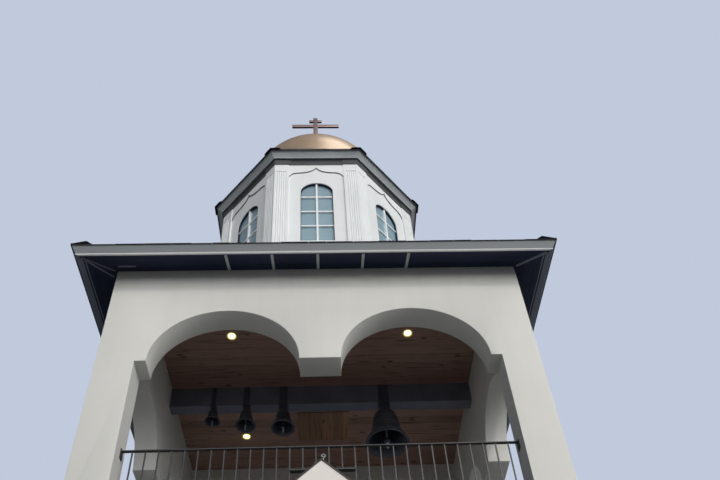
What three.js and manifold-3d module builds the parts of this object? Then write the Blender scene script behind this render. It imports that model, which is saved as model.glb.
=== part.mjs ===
// Church bell tower with an open belfry, an octagonal lantern, a dome and a gabled porch.
// Millimetres, +Z up. The origin is at ground level under the middle of the tower, and the front
// of the tower faces -Y.

import * as THREE from 'three';
import { mergeVertices } from 'three/addons/utils/BufferGeometryUtils.js';
import Module from 'manifold-3d';

const wasm = await Module();
wasm.setup();

// Clearance between faces that would otherwise share one plane in a slanting direction
const FIT = 0.3;

// Tower body
const TOWER_HALF_WIDTH = 2115;
const TOWER_HALF_DEPTH = 1805;
const WALL = 250;
const FLOOR_TOP = 150;
const BELFRY_FLOOR_BOTTOM = 4650;
const BELFRY_FLOOR_TOP = 4850;

// Belfry openings: a pier at each corner, a small corbel, two arches and a pendant between them
const PIER_WIDTH = 365;
const CORBEL = 107;
const PENDANT_HALF = 200;
const SPRING_HEIGHT = 6920;
const WALL_TOP = 8365;
const ARCH_STEPS = 12;
const SMALL_ARCH_STEPS = 5;

// Belfry ceiling
const CEILING_BEARING = 60;
const CEILING_THICKNESS = 50;
const HATCH = { x: 10, y: 700, width: 680, depth: 540, thickness: 14 };
const LIGHT = { x: 1030, front: -870, back: 870, radius: 56, thickness: 9 };

// Main hip roof: six in twelve, with a fascia set square to the rafters
const ROOF_PITCH = 6 / 12;
const SLOPE_LENGTH = Math.hypot(1, ROOF_PITCH);
const SOFFIT_AT_WALL = 8320;
const SOFFIT_BOARD = 20;
const FASCIA = { foot: 317, face: 84, thickness: 24 };
const SHINGLES = { overhang: 20, thickness: 22 };
const LOOKOUT = { count: 5, spacing: 470, width: 36, depth: 12 };
const HIP_STRIP = { width: 30, depth: 4 };
const HIP_JOINT = 0.5;

// Octagonal lantern
const SIDES = 8;
const LANTERN_APOTHEM = 1331;
const LANTERN_WALL = 140;
const LANTERN_TOP = 11480;
const FRIEZE_BOTTOM = 11346;
const FRIEZE_PROJECTION = 20;
const PILASTER_WIDTH = 182;
const PILASTER_PROJECTION = 24;
const CAPITAL_WIDTH = 192;
const CAPITAL_PROJECTION = 34;
const OGEE = { shoulder: 11000, flat: 11158, peak: 11292, projection: 14 };
const WINDOW = { half: 212, sill: 9575, spring: 10698, setback: 9, frameWidth: 24 };
const WINDOW_LINING = 12;
const GLASS_THICKNESS = 6;

// Lantern eave, roof, dome and cross
// The lantern roof rises twelve in twelve, and the cornice face leans out square to it
const CORNICE = { seat: 1368, foot: 1388, footHeight: 11460, face: 70, back: 100 };
const LANTERN_ROOF = { edge: 1472, thickness: 30, topApothem: 1168, inner: 1060, rim: 80 };
const DOME_RADIUS = 1150;
const DOME_CENTRE = 12384;
const DOME_THICKNESS = 30;
const DOME_FLAT = 80;
const DOME_SEGMENTS = 36;
const DOME_STEPS = { outside: 11, inside: 6 };
const BALL = { radius: 105, centre: 13700, seat: 58, neck: 38 };
const CROSS = {
  top: 15562,
  post: 79,
  depth: 36,
  bar: 84,
  smallBar: 60,
  mainHalf: 428,
  mainZ: 15266,
  smallHalf: 115,
  smallZ: 15448,
  footHalf: 250,
  footZ: 14760,
  footSlope: 0.42,
};

// Bells hang from one rectangular steel tube, the largest on the right
const BEAM = { y: 30, bottom: 8055, width: 140, wall: 10 };
const BELLS = [
  { name: '1', x: -1332, mouth: 7819, radius: 96, strap: 50 },
  { name: '2', x: -928, mouth: 7744, radius: 124, strap: 76 },
  { name: '3', x: -476, mouth: 7692, radius: 146, strap: 100 },
  { name: '4', x: 766, mouth: 7406, radius: 262, strap: 127 },
];
const BELL_INSIDE_TOP = 1.78;
const BELL_OUTSIDE_TOP = 1.92;
const BELL_SEGMENTS = 16;
const STAPLE = { pin: 6, cheek: 6, side: 1, eyeWidth: 12, eyeHole: 6.9, eyeOuter: 13, cheekHalf: 11 };
const HANGER = { thickness: 10, plateMargin: 12, plateBack: 60, blockDepth: 40, seatPerRadius: 0.06 };
const CLAPPER = {
  pivotPerRadius: 1.16,
  rod: 4,
  rodPerRadius: 0.05,
  shoulder: 6,
  ballPerRadius: 0.17,
  ballRise: 0.8,
  tail: 70,
};

// Railing in each belfry opening
const RAIL = { top: 5925, height: 12, width: 30, setback: 153, bottom: 4950 };
const BALUSTER = { size: 13, spacing: 114 };
const RAIL_FLANGE = { height: 92, rise: 12, width: 60, thickness: 8 };
const RAIL_PANEL = { top: 5657, height: 14, width: 44, balusters: 5 };

// Ground storey
const DOOR = { half: 600, spring: 1950, leafThickness: 55, leafGap: 3, frame: 40 };
const SIDE_WINDOW = { half: 300, sill: 1900, spring: 2900, setback: 70, frameWidth: 40 };

// Gabled porch: a roof of twelve in twelve, with a thin edge over the gable and a deeper deck behind
const PORCH = { front: -2960, wall: 180, wallHalf: 1050 };
const PORCH_ROOF = { front: -2962, half: 1150, peak: 4666, edge: 12, eave: 60, deck: 130 };
const DRIP_EDGE = 4;
const PORCH_ARCH = { half: 780, spring: 2450 };
const RING = { x: 13, outer: 15, inner: 7, thickness: 14, rise: 27, stem: 4 };

const COLOURS = {
  stucco: 0xc8c6c0,
  lantern: 0xdededc,
  darkSteel: 0x24262a,
  bronze: 0x3a3f45,
  iron: 0x4c4d50,
  glass: 0x8ca0aa,
  shingle: 0x4a4d50,
  fascia: 0x70747a,
  copper: 0xaa917a,
  gold: 0xc9a38c,
  boards: 0x5a3524,
  door: 0x6a452c,
  concrete: 0x9a9a96,
  lamp: 0xfff0c0,
};

const tower = new THREE.Group();

function paint(colour, roughness = 0.8, metalness = 0) {
  return new THREE.MeshStandardMaterial({ color: colour, roughness, metalness });
}

// Solids

// A closed geometry as a solid, without the empty triangles that a turned shape has on its axis
function solid(geometry) {
  geometry.deleteAttribute('normal');
  geometry.deleteAttribute('uv');
  const merged = mergeVertices(geometry, 1e-3);
  const index = merged.index.array;
  const kept = [];
  for (let i = 0; i < index.length; i += 3) {
    const [a, b, c] = [index[i], index[i + 1], index[i + 2]];
    if (a !== b && b !== c && c !== a) kept.push(a, b, c);
  }
  return new wasm.Manifold(new wasm.Mesh({
    numProp: 3,
    vertProperties: new Float32Array(merged.attributes.position.array),
    triVerts: new Uint32Array(kept),
  }));
}

function geometryOf(shape) {
  const mesh = shape.getMesh();
  const geometry = new THREE.BufferGeometry();
  geometry.setAttribute('position', new THREE.BufferAttribute(new Float32Array(mesh.vertProperties), 3));
  geometry.setIndex(new THREE.BufferAttribute(new Uint32Array(mesh.triVerts), 1));
  geometry.computeVertexNormals();
  return geometry;
}

function put(name, shape, material) {
  const mesh = new THREE.Mesh(geometryOf(shape), material);
  mesh.name = name;
  tower.add(mesh);
}

function joined(shapes) {
  return shapes.reduce((all, shape) => all.add(shape));
}

// A box from its two corners
function box(x0, x1, y0, y1, z0, z1) {
  const geometry = new THREE.BoxGeometry(x1 - x0, y1 - y0, z1 - z0);
  geometry.translate((x0 + x1) / 2, (y0 + y1) / 2, (z0 + z1) / 2);
  return solid(geometry);
}

// An upright outline in x and z, extruded along y
function wallAlongX(shape, y0, y1, curveSegments = ARCH_STEPS) {
  const geometry = new THREE.ExtrudeGeometry(shape, { depth: y1 - y0, bevelEnabled: false, curveSegments });
  geometry.rotateX(Math.PI / 2);
  geometry.translate(0, y1, 0);
  return solid(geometry);
}

// An upright outline in y and z, extruded along x
function wallAlongY(shape, x0, x1, curveSegments = ARCH_STEPS) {
  const geometry = new THREE.ExtrudeGeometry(shape, { depth: x1 - x0, bevelEnabled: false, curveSegments });
  geometry.rotateX(Math.PI / 2);
  geometry.rotateZ(Math.PI / 2);
  geometry.translate(x0, 0, 0);
  return solid(geometry);
}

// A flat outline in x and y, extruded upward
function prism(shape, z0, z1) {
  const geometry = new THREE.ExtrudeGeometry(shape, { depth: z1 - z0, bevelEnabled: false });
  geometry.translate(0, 0, z0);
  return solid(geometry);
}

function outline(points) {
  return new THREE.Shape(points.map(([a, b]) => new THREE.Vector2(a, b)));
}

// A turned piece around the z axis from radius and height pairs
function turned(points, segments, start = 0) {
  const geometry = new THREE.LatheGeometry(points.map(([r, z]) => new THREE.Vector2(r, z)), segments, start);
  geometry.rotateX(Math.PI / 2);
  return solid(geometry);
}

// An octagonal ring whose profile gives the distance of each flat side from the middle
function octagonRing(profile) {
  const stretch = 1 / Math.cos(Math.PI / SIDES);
  return turned([...profile, profile[0]].map(([r, z]) => [r * stretch, z]), SIDES, Math.PI / SIDES);
}

// An opening with a half-round head
function archOutline(half, bottom, spring) {
  const shape = new THREE.Shape();
  shape.moveTo(-half, bottom);
  shape.lineTo(half, bottom);
  shape.lineTo(half, spring);
  shape.absarc(0, spring, half, 0, Math.PI, false);
  shape.lineTo(-half, bottom);
  return shape;
}

// Ground storey

function groundFloor() {
  const x = TOWER_HALF_WIDTH - WALL;
  const y = TOWER_HALF_DEPTH - WALL;
  const doorway = box(-DOOR.half, DOOR.half, -TOWER_HALF_DEPTH, -y + 1, 0, FLOOR_TOP);
  put('ground_floor', box(-x, x, -y, y, 0, FLOOR_TOP).add(doorway), paint(COLOURS.concrete, 0.9));
}

function groundWalls() {
  const w = TOWER_HALF_WIDTH;
  const d = TOWER_HALF_DEPTH;
  const inner = d - WALL;
  const top = BELFRY_FLOOR_BOTTOM;
  const lintel = DOOR.spring;
  const stucco = paint(COLOURS.stucco, 0.9);
  put('front_wall_left', box(-w, -DOOR.half, -d, -inner, 0, lintel), stucco);
  put('front_wall_right', box(DOOR.half, w, -d, -inner, 0, lintel), stucco.clone());
  const doorHead = wallAlongX(archOutline(DOOR.half, 0, DOOR.spring), -d - 1, -inner + 1);
  put('front_wall_over_door', box(-w, w, -d, -inner, lintel, top).subtract(doorHead), stucco.clone());
  const hole = archOutline(SIDE_WINDOW.half, SIDE_WINDOW.sill, SIDE_WINDOW.spring);
  const backHole = wallAlongX(hole, inner - 1, d + 1, SMALL_ARCH_STEPS);
  put('back_wall', box(-w, w, inner, d, 0, top).subtract(backHole), stucco.clone());
  const sideHole = wallAlongY(hole, -w - 1, w + 1, SMALL_ARCH_STEPS);
  put('left_wall', box(-w, -w + WALL, -inner, inner, 0, top).subtract(sideHole), stucco.clone());
  put('right_wall', box(w - WALL, w, -inner, inner, 0, top).subtract(sideHole), stucco.clone());
}

// A frame with its pane, upright in x and z, with the frame's front at y = 0
function glazedFrame(size, depth) {
  const outer = archOutline(size.half - FIT, size.sill + FIT, size.spring);
  const inside = archOutline(size.half - size.frameWidth, size.sill + size.frameWidth, size.spring);
  const [start, end] = [GLASS_THICKNESS * 3, GLASS_THICKNESS * 4];
  return wallAlongX(outer, 0, depth, SMALL_ARCH_STEPS)
    .subtract(wallAlongX(inside, -1, start, SMALL_ARCH_STEPS))
    .subtract(wallAlongX(inside, end, depth + 1, SMALL_ARCH_STEPS));
}

function groundWindows() {
  const frame = glazedFrame(SIDE_WINDOW, WALL - 2 * SIDE_WINDOW.setback);
  const place = (turn, reach) => frame.translate([0, -reach + SIDE_WINDOW.setback, 0]).rotate([0, 0, turn]);
  put('back_window', place(180, TOWER_HALF_DEPTH), paint(COLOURS.glass, 0.1));
  put('left_window', place(-90, TOWER_HALF_WIDTH), paint(COLOURS.glass, 0.1));
  put('right_window', place(90, TOWER_HALF_WIDTH), paint(COLOURS.glass, 0.1));
}

// Two leaves in one frame, with a slot where they meet
function entranceDoors() {
  const front = -TOWER_HALF_DEPTH + WALL / 2;
  const back = front + DOOR.leafThickness;
  const leaves = wallAlongX(archOutline(DOOR.half - FIT, FLOOR_TOP, DOOR.spring), front, back);
  const top = DOOR.spring + DOOR.half - DOOR.frame;
  const slot = box(-DOOR.leafGap / 2, DOOR.leafGap / 2, front - 1, back + 1, FLOOR_TOP - 1, top);
  put('entrance_doors', leaves.subtract(slot), paint(COLOURS.door, 0.6));
}

// Porch

function porchFloor() {
  const inside = PORCH.wallHalf - PORCH.wall;
  const back = PORCH.front + PORCH.wall;
  const slab = box(-inside, inside, back, -TOWER_HALF_DEPTH, 0, FLOOR_TOP);
  const step = box(-PORCH_ARCH.half, PORCH_ARCH.half, PORCH.front, back + 1, 0, FLOOR_TOP);
  put('porch_floor', slab.add(step), paint(COLOURS.concrete, 0.9));
}

// Height under the thin edge of the porch roof
function porchUnderside(x) {
  return PORCH_ROOF.peak - PORCH_ROOF.edge - Math.abs(x) - FIT;
}

function porchWalls() {
  const out = PORCH.wallHalf;
  const inside = out - PORCH.wall;
  const back = PORCH.front + PORCH.wall;
  const stucco = paint(COLOURS.stucco, 0.9);
  const face = outline([[-out, 0], [out, 0], [out, porchUnderside(out)], [0, porchUnderside(0)],
    [-out, porchUnderside(out)]]);
  const arch = wallAlongX(archOutline(PORCH_ARCH.half, -1, PORCH_ARCH.spring), PORCH.front - 1, back + 1);
  put('porch_front_wall', wallAlongX(face, PORCH.front, back).subtract(arch), stucco);
  const low = porchUnderside(out);
  const section = (side) => outline([[side * inside, 0], [side * out, 0], [side * out, low],
    [side * inside, low]]);
  put('porch_left_wall', wallAlongX(section(-1), back, -TOWER_HALF_DEPTH), stucco.clone());
  put('porch_right_wall', wallAlongX(section(1), back, -TOWER_HALF_DEPTH), stucco.clone());
}

// A chevron between two heights at the ridge, out to a distance on each side
function chevron(half, top, bottom, y0, y1) {
  return wallAlongX(outline([[0, top], [-half, top - half], [-half, bottom - half], [0, bottom],
    [half, bottom - half], [half, top - half]]), y0, y1);
}

function porchRoof() {
  const inside = PORCH.wallHalf - PORCH.wall - FIT;
  const back = PORCH.front + PORCH.wall + FIT;
  const bottom = PORCH_ROOF.peak - PORCH_ROOF.edge;
  const outside = PORCH.wallHalf + FIT;
  const skin = chevron(PORCH_ROOF.half, PORCH_ROOF.peak, bottom, PORCH_ROOF.front, -TOWER_HALF_DEPTH);
  const deck = chevron(inside, bottom + 1, PORCH_ROOF.peak - PORCH_ROOF.deck, back, -TOWER_HALF_DEPTH);
  const eaveBottom = PORCH_ROOF.peak - PORCH_ROOF.eave;
  const eaves = chevron(PORCH_ROOF.half, bottom + 1, eaveBottom, PORCH.front, -TOWER_HALF_DEPTH)
    .subtract(box(-outside, outside, PORCH.front - 1, -TOWER_HALF_DEPTH + 1, 0, PORCH_ROOF.peak));
  put('porch_roof', skin.add(deck).add(eaves), paint(COLOURS.shingle, 0.95));
  const skinFront = PORCH_ROOF.front;
  const edge = chevron(PORCH_ROOF.half, PORCH_ROOF.peak, bottom, skinFront - DRIP_EDGE, skinFront);
  put('porch_drip_edge', edge, paint(COLOURS.darkSteel, 0.6, 0.4));
}

// A small ring on a stem at the front of the porch ridge
function porchRing() {
  const half = RING.thickness / 2;
  const profile = [[RING.inner, -half], [RING.outer, -half], [RING.outer, half], [RING.inner, half]];
  const ring = turned([...profile, profile[0]], 20).rotate([90, 0, 0]);
  const foot = -RING.rise - RING.x - RING.stem;
  const stem = box(-RING.stem, RING.stem, -RING.stem, RING.stem, foot, -RING.inner - 2);
  const place = [RING.x, PORCH_ROOF.front + half + 2, PORCH_ROOF.peak + RING.rise];
  const reach = RING.x + 2 * RING.outer;
  const peak = PORCH_ROOF.peak;
  const roof = chevron(reach, peak + FIT, peak - reach, PORCH.front - reach, PORCH.front + reach);
  put('porch_ring', ring.add(stem).translate(place).subtract(roof), paint(COLOURS.lantern, 0.4, 0.6));
}

// Belfry

function belfryFloor() {
  const w = TOWER_HALF_WIDTH;
  const d = TOWER_HALF_DEPTH;
  put('belfry_floor', box(-w, w, -d, d, BELFRY_FLOOR_BOTTOM, BELFRY_FLOOR_TOP), paint(COLOURS.concrete, 0.9));
}

// One side of the belfry: legs, corbels, two arches and the pendant between them
function arcadeOutline(half, leg, corbelEnd) {
  const radius = (corbelEnd - PENDANT_HALF) / 2;
  const centre = PENDANT_HALF + radius;
  const shape = new THREE.Shape();
  shape.moveTo(-half, BELFRY_FLOOR_TOP);
  shape.lineTo(-half + leg, BELFRY_FLOOR_TOP);
  shape.lineTo(-half + leg, SPRING_HEIGHT);
  shape.lineTo(-corbelEnd, SPRING_HEIGHT);
  shape.absarc(-centre, SPRING_HEIGHT, radius, Math.PI, 0, true);
  shape.lineTo(PENDANT_HALF, SPRING_HEIGHT);
  shape.absarc(centre, SPRING_HEIGHT, radius, Math.PI, 0, true);
  shape.lineTo(half - leg, SPRING_HEIGHT);
  shape.lineTo(half - leg, BELFRY_FLOOR_TOP);
  shape.lineTo(half, BELFRY_FLOOR_TOP);
  shape.lineTo(half, WALL_TOP);
  shape.lineTo(-half, WALL_TOP);
  return shape;
}

function belfryWalls() {
  const w = TOWER_HALF_WIDTH;
  const d = TOWER_HALF_DEPTH;
  const stucco = paint(COLOURS.stucco, 0.9);
  const long = arcadeOutline(w, PIER_WIDTH, w - PIER_WIDTH - CORBEL);
  const short = arcadeOutline(d - WALL, PIER_WIDTH - WALL, d - PIER_WIDTH - CORBEL);
  put('belfry_front', wallAlongX(long, -d, -d + WALL), stucco);
  put('belfry_back', wallAlongX(long, d - WALL, d), stucco.clone());
  put('belfry_left', wallAlongY(short, -w, -w + WALL), stucco.clone());
  put('belfry_right', wallAlongY(short, w - WALL, w), stucco.clone());
}

function ceiling() {
  const x = TOWER_HALF_WIDTH - WALL + CEILING_BEARING;
  const y = TOWER_HALF_DEPTH - WALL + CEILING_BEARING;
  const low = WALL_TOP - LIGHT.thickness;
  const disc = turned([[0, low], [LIGHT.radius, low], [LIGHT.radius, WALL_TOP + 1], [0, WALL_TOP + 1]], 20);
  const lights = [-1, 1].flatMap((side) => [LIGHT.front, LIGHT.back].map((along) => (
    disc.translate([side * LIGHT.x, along, 0])
  )));
  const boards = box(-x, x, -y, y, WALL_TOP, WALL_TOP + CEILING_THICKNESS);
  put('belfry_ceiling', boards.add(joined(lights)), paint(COLOURS.boards, 0.7));
  const halfWidth = HATCH.width / 2;
  const halfDepth = HATCH.depth / 2;
  const panel = box(-halfWidth, halfWidth, -halfDepth, halfDepth, WALL_TOP - HATCH.thickness, WALL_TOP);
  put('ceiling_hatch', panel.translate([HATCH.x, HATCH.y, 0]), paint(COLOURS.boards, 0.7));
}

// A railing between two piers. In the front one the middle balusters end on a low cross bar.
function railing(name, half, turn, reach, hasPanel) {
  const y = -reach + RAIL.setback;
  const bar = (x0, x1, z0, z1, depth) => box(x0, x1, y - depth / 2, y + depth / 2, z0, z1);
  const flangeBottom = RAIL.top - RAIL_FLANGE.height;
  const flangeTop = RAIL.top + RAIL_FLANGE.rise;
  const pieces = [
    bar(-half, half, RAIL.top - RAIL.height, RAIL.top, RAIL.width),
    bar(-half, half, RAIL.bottom, RAIL.bottom + RAIL.height, RAIL.width),
    bar(-half, -half + RAIL_FLANGE.thickness, flangeBottom, flangeTop, RAIL_FLANGE.width),
    bar(half - RAIL_FLANGE.thickness, half, flangeBottom, flangeTop, RAIL_FLANGE.width),
  ];
  const panelHalf = (RAIL_PANEL.balusters * BALUSTER.spacing) / 2;
  const panelBottom = RAIL_PANEL.top - RAIL_PANEL.height;
  if (hasPanel) pieces.push(bar(-panelHalf, panelHalf, panelBottom, RAIL_PANEL.top, RAIL_PANEL.width));
  const count = Math.floor((2 * half - BALUSTER.size) / BALUSTER.spacing / 2) * 2;
  for (let i = 0; i < count; i += 1) {
    const x = (i - (count - 1) / 2) * BALUSTER.spacing;
    const isShort = hasPanel && Math.abs(x) < panelHalf - 1;
    const foot = (isShort ? panelBottom : RAIL.bottom) + 2;
    pieces.push(bar(x - BALUSTER.size / 2, x + BALUSTER.size / 2, foot, RAIL.top - 2, BALUSTER.size));
  }
  put(name, joined(pieces).rotate([0, 0, turn]), paint(COLOURS.iron, 0.5, 0.7));
}

function railings() {
  const across = TOWER_HALF_WIDTH - PIER_WIDTH;
  const along = TOWER_HALF_DEPTH - PIER_WIDTH;
  railing('railing_front', across, 0, TOWER_HALF_DEPTH, true);
  railing('railing_back', across, 180, TOWER_HALF_DEPTH, false);
  railing('railing_left', along, -90, TOWER_HALF_WIDTH, false);
  railing('railing_right', along, 90, TOWER_HALF_WIDTH, false);
}

// Bells

function bellBeam() {
  const x = TOWER_HALF_WIDTH - WALL;
  const half = BEAM.width / 2;
  const inner = half - BEAM.wall;
  const hollow = box(-x - 1, x + 1, -inner, inner, BEAM.bottom + BEAM.wall, WALL_TOP - BEAM.wall);
  const tube = box(-x, x, -half, half, BEAM.bottom, WALL_TOP).subtract(hollow);
  put('bell_beam', tube.translate([0, BEAM.y, 0]), paint(COLOURS.darkSteel, 0.5, 0.8));
}

// Radius and height pairs of a bell wall, both per unit of mouth radius
const BELL_OUTSIDE = [[1, 0], [0.97, 0.1], [0.84, 0.32], [0.71, 0.66], [0.63, 1.05], [0.57, 1.45],
  [0.5, 1.72], [0.38, 1.86], [0.2, 1.92]];
const BELL_INSIDE = [[0.24, 1.78], [0.4, 1.68], [0.48, 1.45], [0.54, 1.05], [0.62, 0.66], [0.74, 0.32],
  [0.83, 0.1], [0.9, 0]];

// Two cheeks and a pin inside the crown, which carry the clapper
function staple(bell) {
  const pivot = bell.mouth + bell.radius * CLAPPER.pivotPerRadius;
  const roof = bell.mouth + bell.radius * BELL_INSIDE_TOP + 5;
  const gap = STAPLE.eyeWidth / 2 + STAPLE.side;
  const reach = STAPLE.cheekHalf;
  const cheek = (x0, x1) => box(x0, x1, -reach, reach, pivot - reach, roof);
  const pin = new THREE.CylinderGeometry(STAPLE.pin, STAPLE.pin, 2 * gap + 2, 16);
  pin.rotateZ(Math.PI / 2);
  pin.translate(0, 0, pivot);
  return joined([cheek(-gap - STAPLE.cheek, -gap), cheek(gap, gap + STAPLE.cheek), solid(pin)]);
}

// The block on the bell's crown, and the plate and strap that hold it under and in front of the beam
function hanger(bell) {
  const half = bell.strap / 2;
  const front = BEAM.y - BEAM.width / 2;
  const under = BEAM.bottom - HANGER.thickness;
  const seat = bell.mouth + bell.radius * (BELL_OUTSIDE_TOP - HANGER.seatPerRadius);
  const block = box(-half, half, -HANGER.blockDepth / 2, HANGER.blockDepth / 2, seat, under + 1);
  const wide = half + HANGER.plateMargin;
  const plate = box(-wide, wide, front - HANGER.thickness, HANGER.plateBack, under, BEAM.bottom);
  const strap = box(-half, half, front - HANGER.thickness, front, under, WALL_TOP - HANGER.thickness);
  return joined([block, plate, strap]);
}

function bellBody(bell) {
  const scaled = (points) => points.map(([r, z]) => [r * bell.radius, bell.mouth + z * bell.radius]);
  const profile = scaled([[0, BELL_INSIDE_TOP], ...BELL_INSIDE, ...BELL_OUTSIDE, [0, BELL_OUTSIDE_TOP]]);
  return turned(profile, BELL_SEGMENTS).add(staple(bell)).add(hanger(bell)).translate([bell.x, 0, 0]);
}

// An eye on the pin, a rod, the ball that strikes the bell, and the tail for the rope
function clapper(bell) {
  const pivot = bell.mouth + bell.radius * CLAPPER.pivotPerRadius;
  const half = STAPLE.eyeWidth / 2;
  const eyeProfile = [[STAPLE.eyeHole, -half], [STAPLE.eyeOuter, -half], [STAPLE.eyeOuter, half],
    [STAPLE.eyeHole, half]];
  const eye = turned([...eyeProfile, eyeProfile[0]], 16).rotate([0, 90, 0]).translate([0, 0, pivot]);
  const rod = Math.max(CLAPPER.rod, bell.radius * CLAPPER.rodPerRadius);
  const neck = half - 1;
  const shoulder = pivot - STAPLE.cheekHalf - CLAPPER.shoulder;
  const ball = bell.radius * CLAPPER.ballPerRadius;
  const ballZ = bell.mouth + ball * CLAPPER.ballRise;
  const tail = bell.mouth - CLAPPER.tail;
  const profile = [[0, tail], [rod, tail]];
  const steps = 6;
  for (let i = 1; i < steps; i += 1) {
    const angle = -Math.PI / 2 + (Math.PI * i) / steps;
    profile.push([Math.max(rod, ball * Math.cos(angle)), ballZ + ball * Math.sin(angle)]);
  }
  const top = pivot - STAPLE.eyeHole - 2;
  profile.push([rod, shoulder - 12], [neck, shoulder], [neck, top], [0, top]);
  return eye.add(turned(profile, 12)).translate([bell.x, 0, 0]);
}

function bells() {
  for (const bell of BELLS) {
    put(`bell_${bell.name}`, bellBody(bell), paint(COLOURS.bronze, 0.5, 0.8));
    put(`clapper_${bell.name}`, clapper(bell), paint(COLOURS.fascia, 0.4, 0.9));
  }
}

// Main roof

// Everything under four planes that rise inward from a rectangle at the same pitch
function underHips(halfX, halfY, edge, bottom) {
  const profile = (half) => outline([[-half, bottom], [half, bottom], [half, edge],
    [0, edge + half * ROOF_PITCH], [-half, edge]]);
  return wallAlongX(profile(halfX), -halfY, halfY).intersect(wallAlongY(profile(halfY), -halfX, halfX));
}

// Heights, over the face of the walls, of the planes that run parallel to the soffit
const RAFTER_TOP = SOFFIT_AT_WALL + FASCIA.face * SLOPE_LENGTH;
const SHINGLE_TOP = RAFTER_TOP + SHINGLES.thickness * SLOPE_LENGTH;
const FASCIA_BACK = FASCIA.foot - FASCIA.thickness / SLOPE_LENGTH;
const ROOF_REACH = FASCIA.foot + (FASCIA.face * ROOF_PITCH) / SLOPE_LENGTH + SHINGLES.overhang;
const ROOF_BOTTOM = SOFFIT_AT_WALL - 300;
const BEYOND = 100;

function soffitHeight(out) {
  return SOFFIT_AT_WALL - out * ROOF_PITCH;
}

// Everything under the four planes that pass the wall faces at one height, out to a distance
function underPlanes(heightAtWall, out, bottom = ROOF_BOTTOM) {
  const edge = heightAtWall - out * ROOF_PITCH;
  return underHips(TOWER_HALF_WIDTH + out, TOWER_HALF_DEPTH + out, edge, bottom);
}

// A block whose four sides lean out at a right angle to the roof, from a distance on the soffit plane
function flared(out) {
  const low = ROOF_BOTTOM;
  const high = SHINGLE_TOP;
  const at = (z) => out + (z - soffitHeight(out)) * ROOF_PITCH;
  const profile = (half) => outline([[-half - at(low), low], [half + at(low), low], [half + at(high), high],
    [-half - at(high), high]]);
  const reach = TOWER_HALF_WIDTH + ROOF_REACH + BEYOND;
  return wallAlongX(profile(TOWER_HALF_WIDTH), -reach, reach)
    .intersect(wallAlongY(profile(TOWER_HALF_DEPTH), -reach, reach));
}

// The space over the walls' rectangle up to a height
function overWalls(top) {
  const x = TOWER_HALF_WIDTH + FIT;
  const y = TOWER_HALF_DEPTH + FIT;
  return box(-x, x, -y, y, ROOF_BOTTOM - 1, top);
}

// Everything under the shingles, raised by a clearance
function underShingles(clearance) {
  return underPlanes(SHINGLE_TOP + clearance, ROOF_REACH);
}

// The roof rests on the wall tops, round the foot of the lantern, in four slopes with a joint at each hip
function mainRoof() {
  const skin = underShingles(0).subtract(underPlanes(RAFTER_TOP + FIT, ROOF_REACH + BEYOND));
  const attic = underPlanes(SOFFIT_AT_WALL + SOFFIT_BOARD + FIT, ROOF_REACH + BEYOND);
  const body = underPlanes(RAFTER_TOP + 1, ROOF_REACH).intersect(flared(FASCIA_BACK - FIT)).subtract(attic);
  const hole = octagonPrism(LANTERN_APOTHEM + FIT, ROOF_BOTTOM, LANTERN_TOP);
  const roof = skin.add(body).subtract(overWalls(WALL_TOP)).subtract(hole);
  const x = TOWER_HALF_WIDTH + ROOF_REACH + BEYOND;
  const y = TOWER_HALF_DEPTH + ROOF_REACH + BEYOND;
  const long = prism(outline([[-x, -y], [x, -y], [x - y, 0], [y - x, 0]]), ROOF_BOTTOM, LANTERN_TOP);
  const short = prism(outline([[-x, -y], [y - x, 0], [-x, y]]), ROOF_BOTTOM, LANTERN_TOP)
    .translate([-HIP_JOINT, 0, 0]);
  put('main_roof_front', roof.intersect(long), paint(COLOURS.shingle, 0.95));
  put('main_roof_back', roof.intersect(long.rotate([0, 0, 180])), paint(COLOURS.shingle, 0.95));
  put('main_roof_left', roof.intersect(short), paint(COLOURS.shingle, 0.95));
  put('main_roof_right', roof.intersect(short.rotate([0, 0, 180])), paint(COLOURS.shingle, 0.95));
}

function fascia() {
  const outside = flared(FASCIA.foot).intersect(underPlanes(RAFTER_TOP, ROOF_REACH));
  const ring = outside.subtract(flared(FASCIA_BACK))
    .subtract(underPlanes(SOFFIT_AT_WALL, ROOF_REACH + BEYOND));
  put('eave_fascia', ring, paint(COLOURS.fascia, 0.7));
}

// A strip under the soffit in front of the wall, from the wall out to the fascia
function lookout(reach) {
  const start = FIT;
  const stop = FASCIA_BACK - LOOKOUT.depth;
  const top = (out) => soffitHeight(out) + SOFFIT_BOARD / 2;
  const bottom = (out) => soffitHeight(out) - LOOKOUT.depth;
  const section = outline([[-reach - start, bottom(start)], [-reach - start, top(start)],
    [-reach - stop, top(stop)], [-reach - stop, bottom(stop)]]);
  return wallAlongY(section, -LOOKOUT.width / 2, LOOKOUT.width / 2);
}

// A diagonal strip under a hip, from the corner of the walls to the corner of the fascia
function hipStrip(sx, sy) {
  const half = HIP_STRIP.width / 2;
  const slope = ROOF_PITCH / Math.SQRT2;
  const start = half + 1;
  const stop = (FASCIA_BACK - LOOKOUT.depth) * Math.SQRT2 - half;
  const top = (out) => SOFFIT_AT_WALL - out * slope + SOFFIT_BOARD / 4;
  const bottom = (out) => SOFFIT_AT_WALL - (out + half) * slope - HIP_STRIP.depth;
  const section = outline([[start, bottom(start)], [stop, bottom(stop)], [stop, top(stop)],
    [start, top(start)]]);
  const turn = (Math.atan2(sy, sx) * 180) / Math.PI;
  return wallAlongX(section, -half, half).rotate([0, 0, turn])
    .translate([sx * TOWER_HALF_WIDTH, sy * TOWER_HALF_DEPTH, 0]);
}

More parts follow.
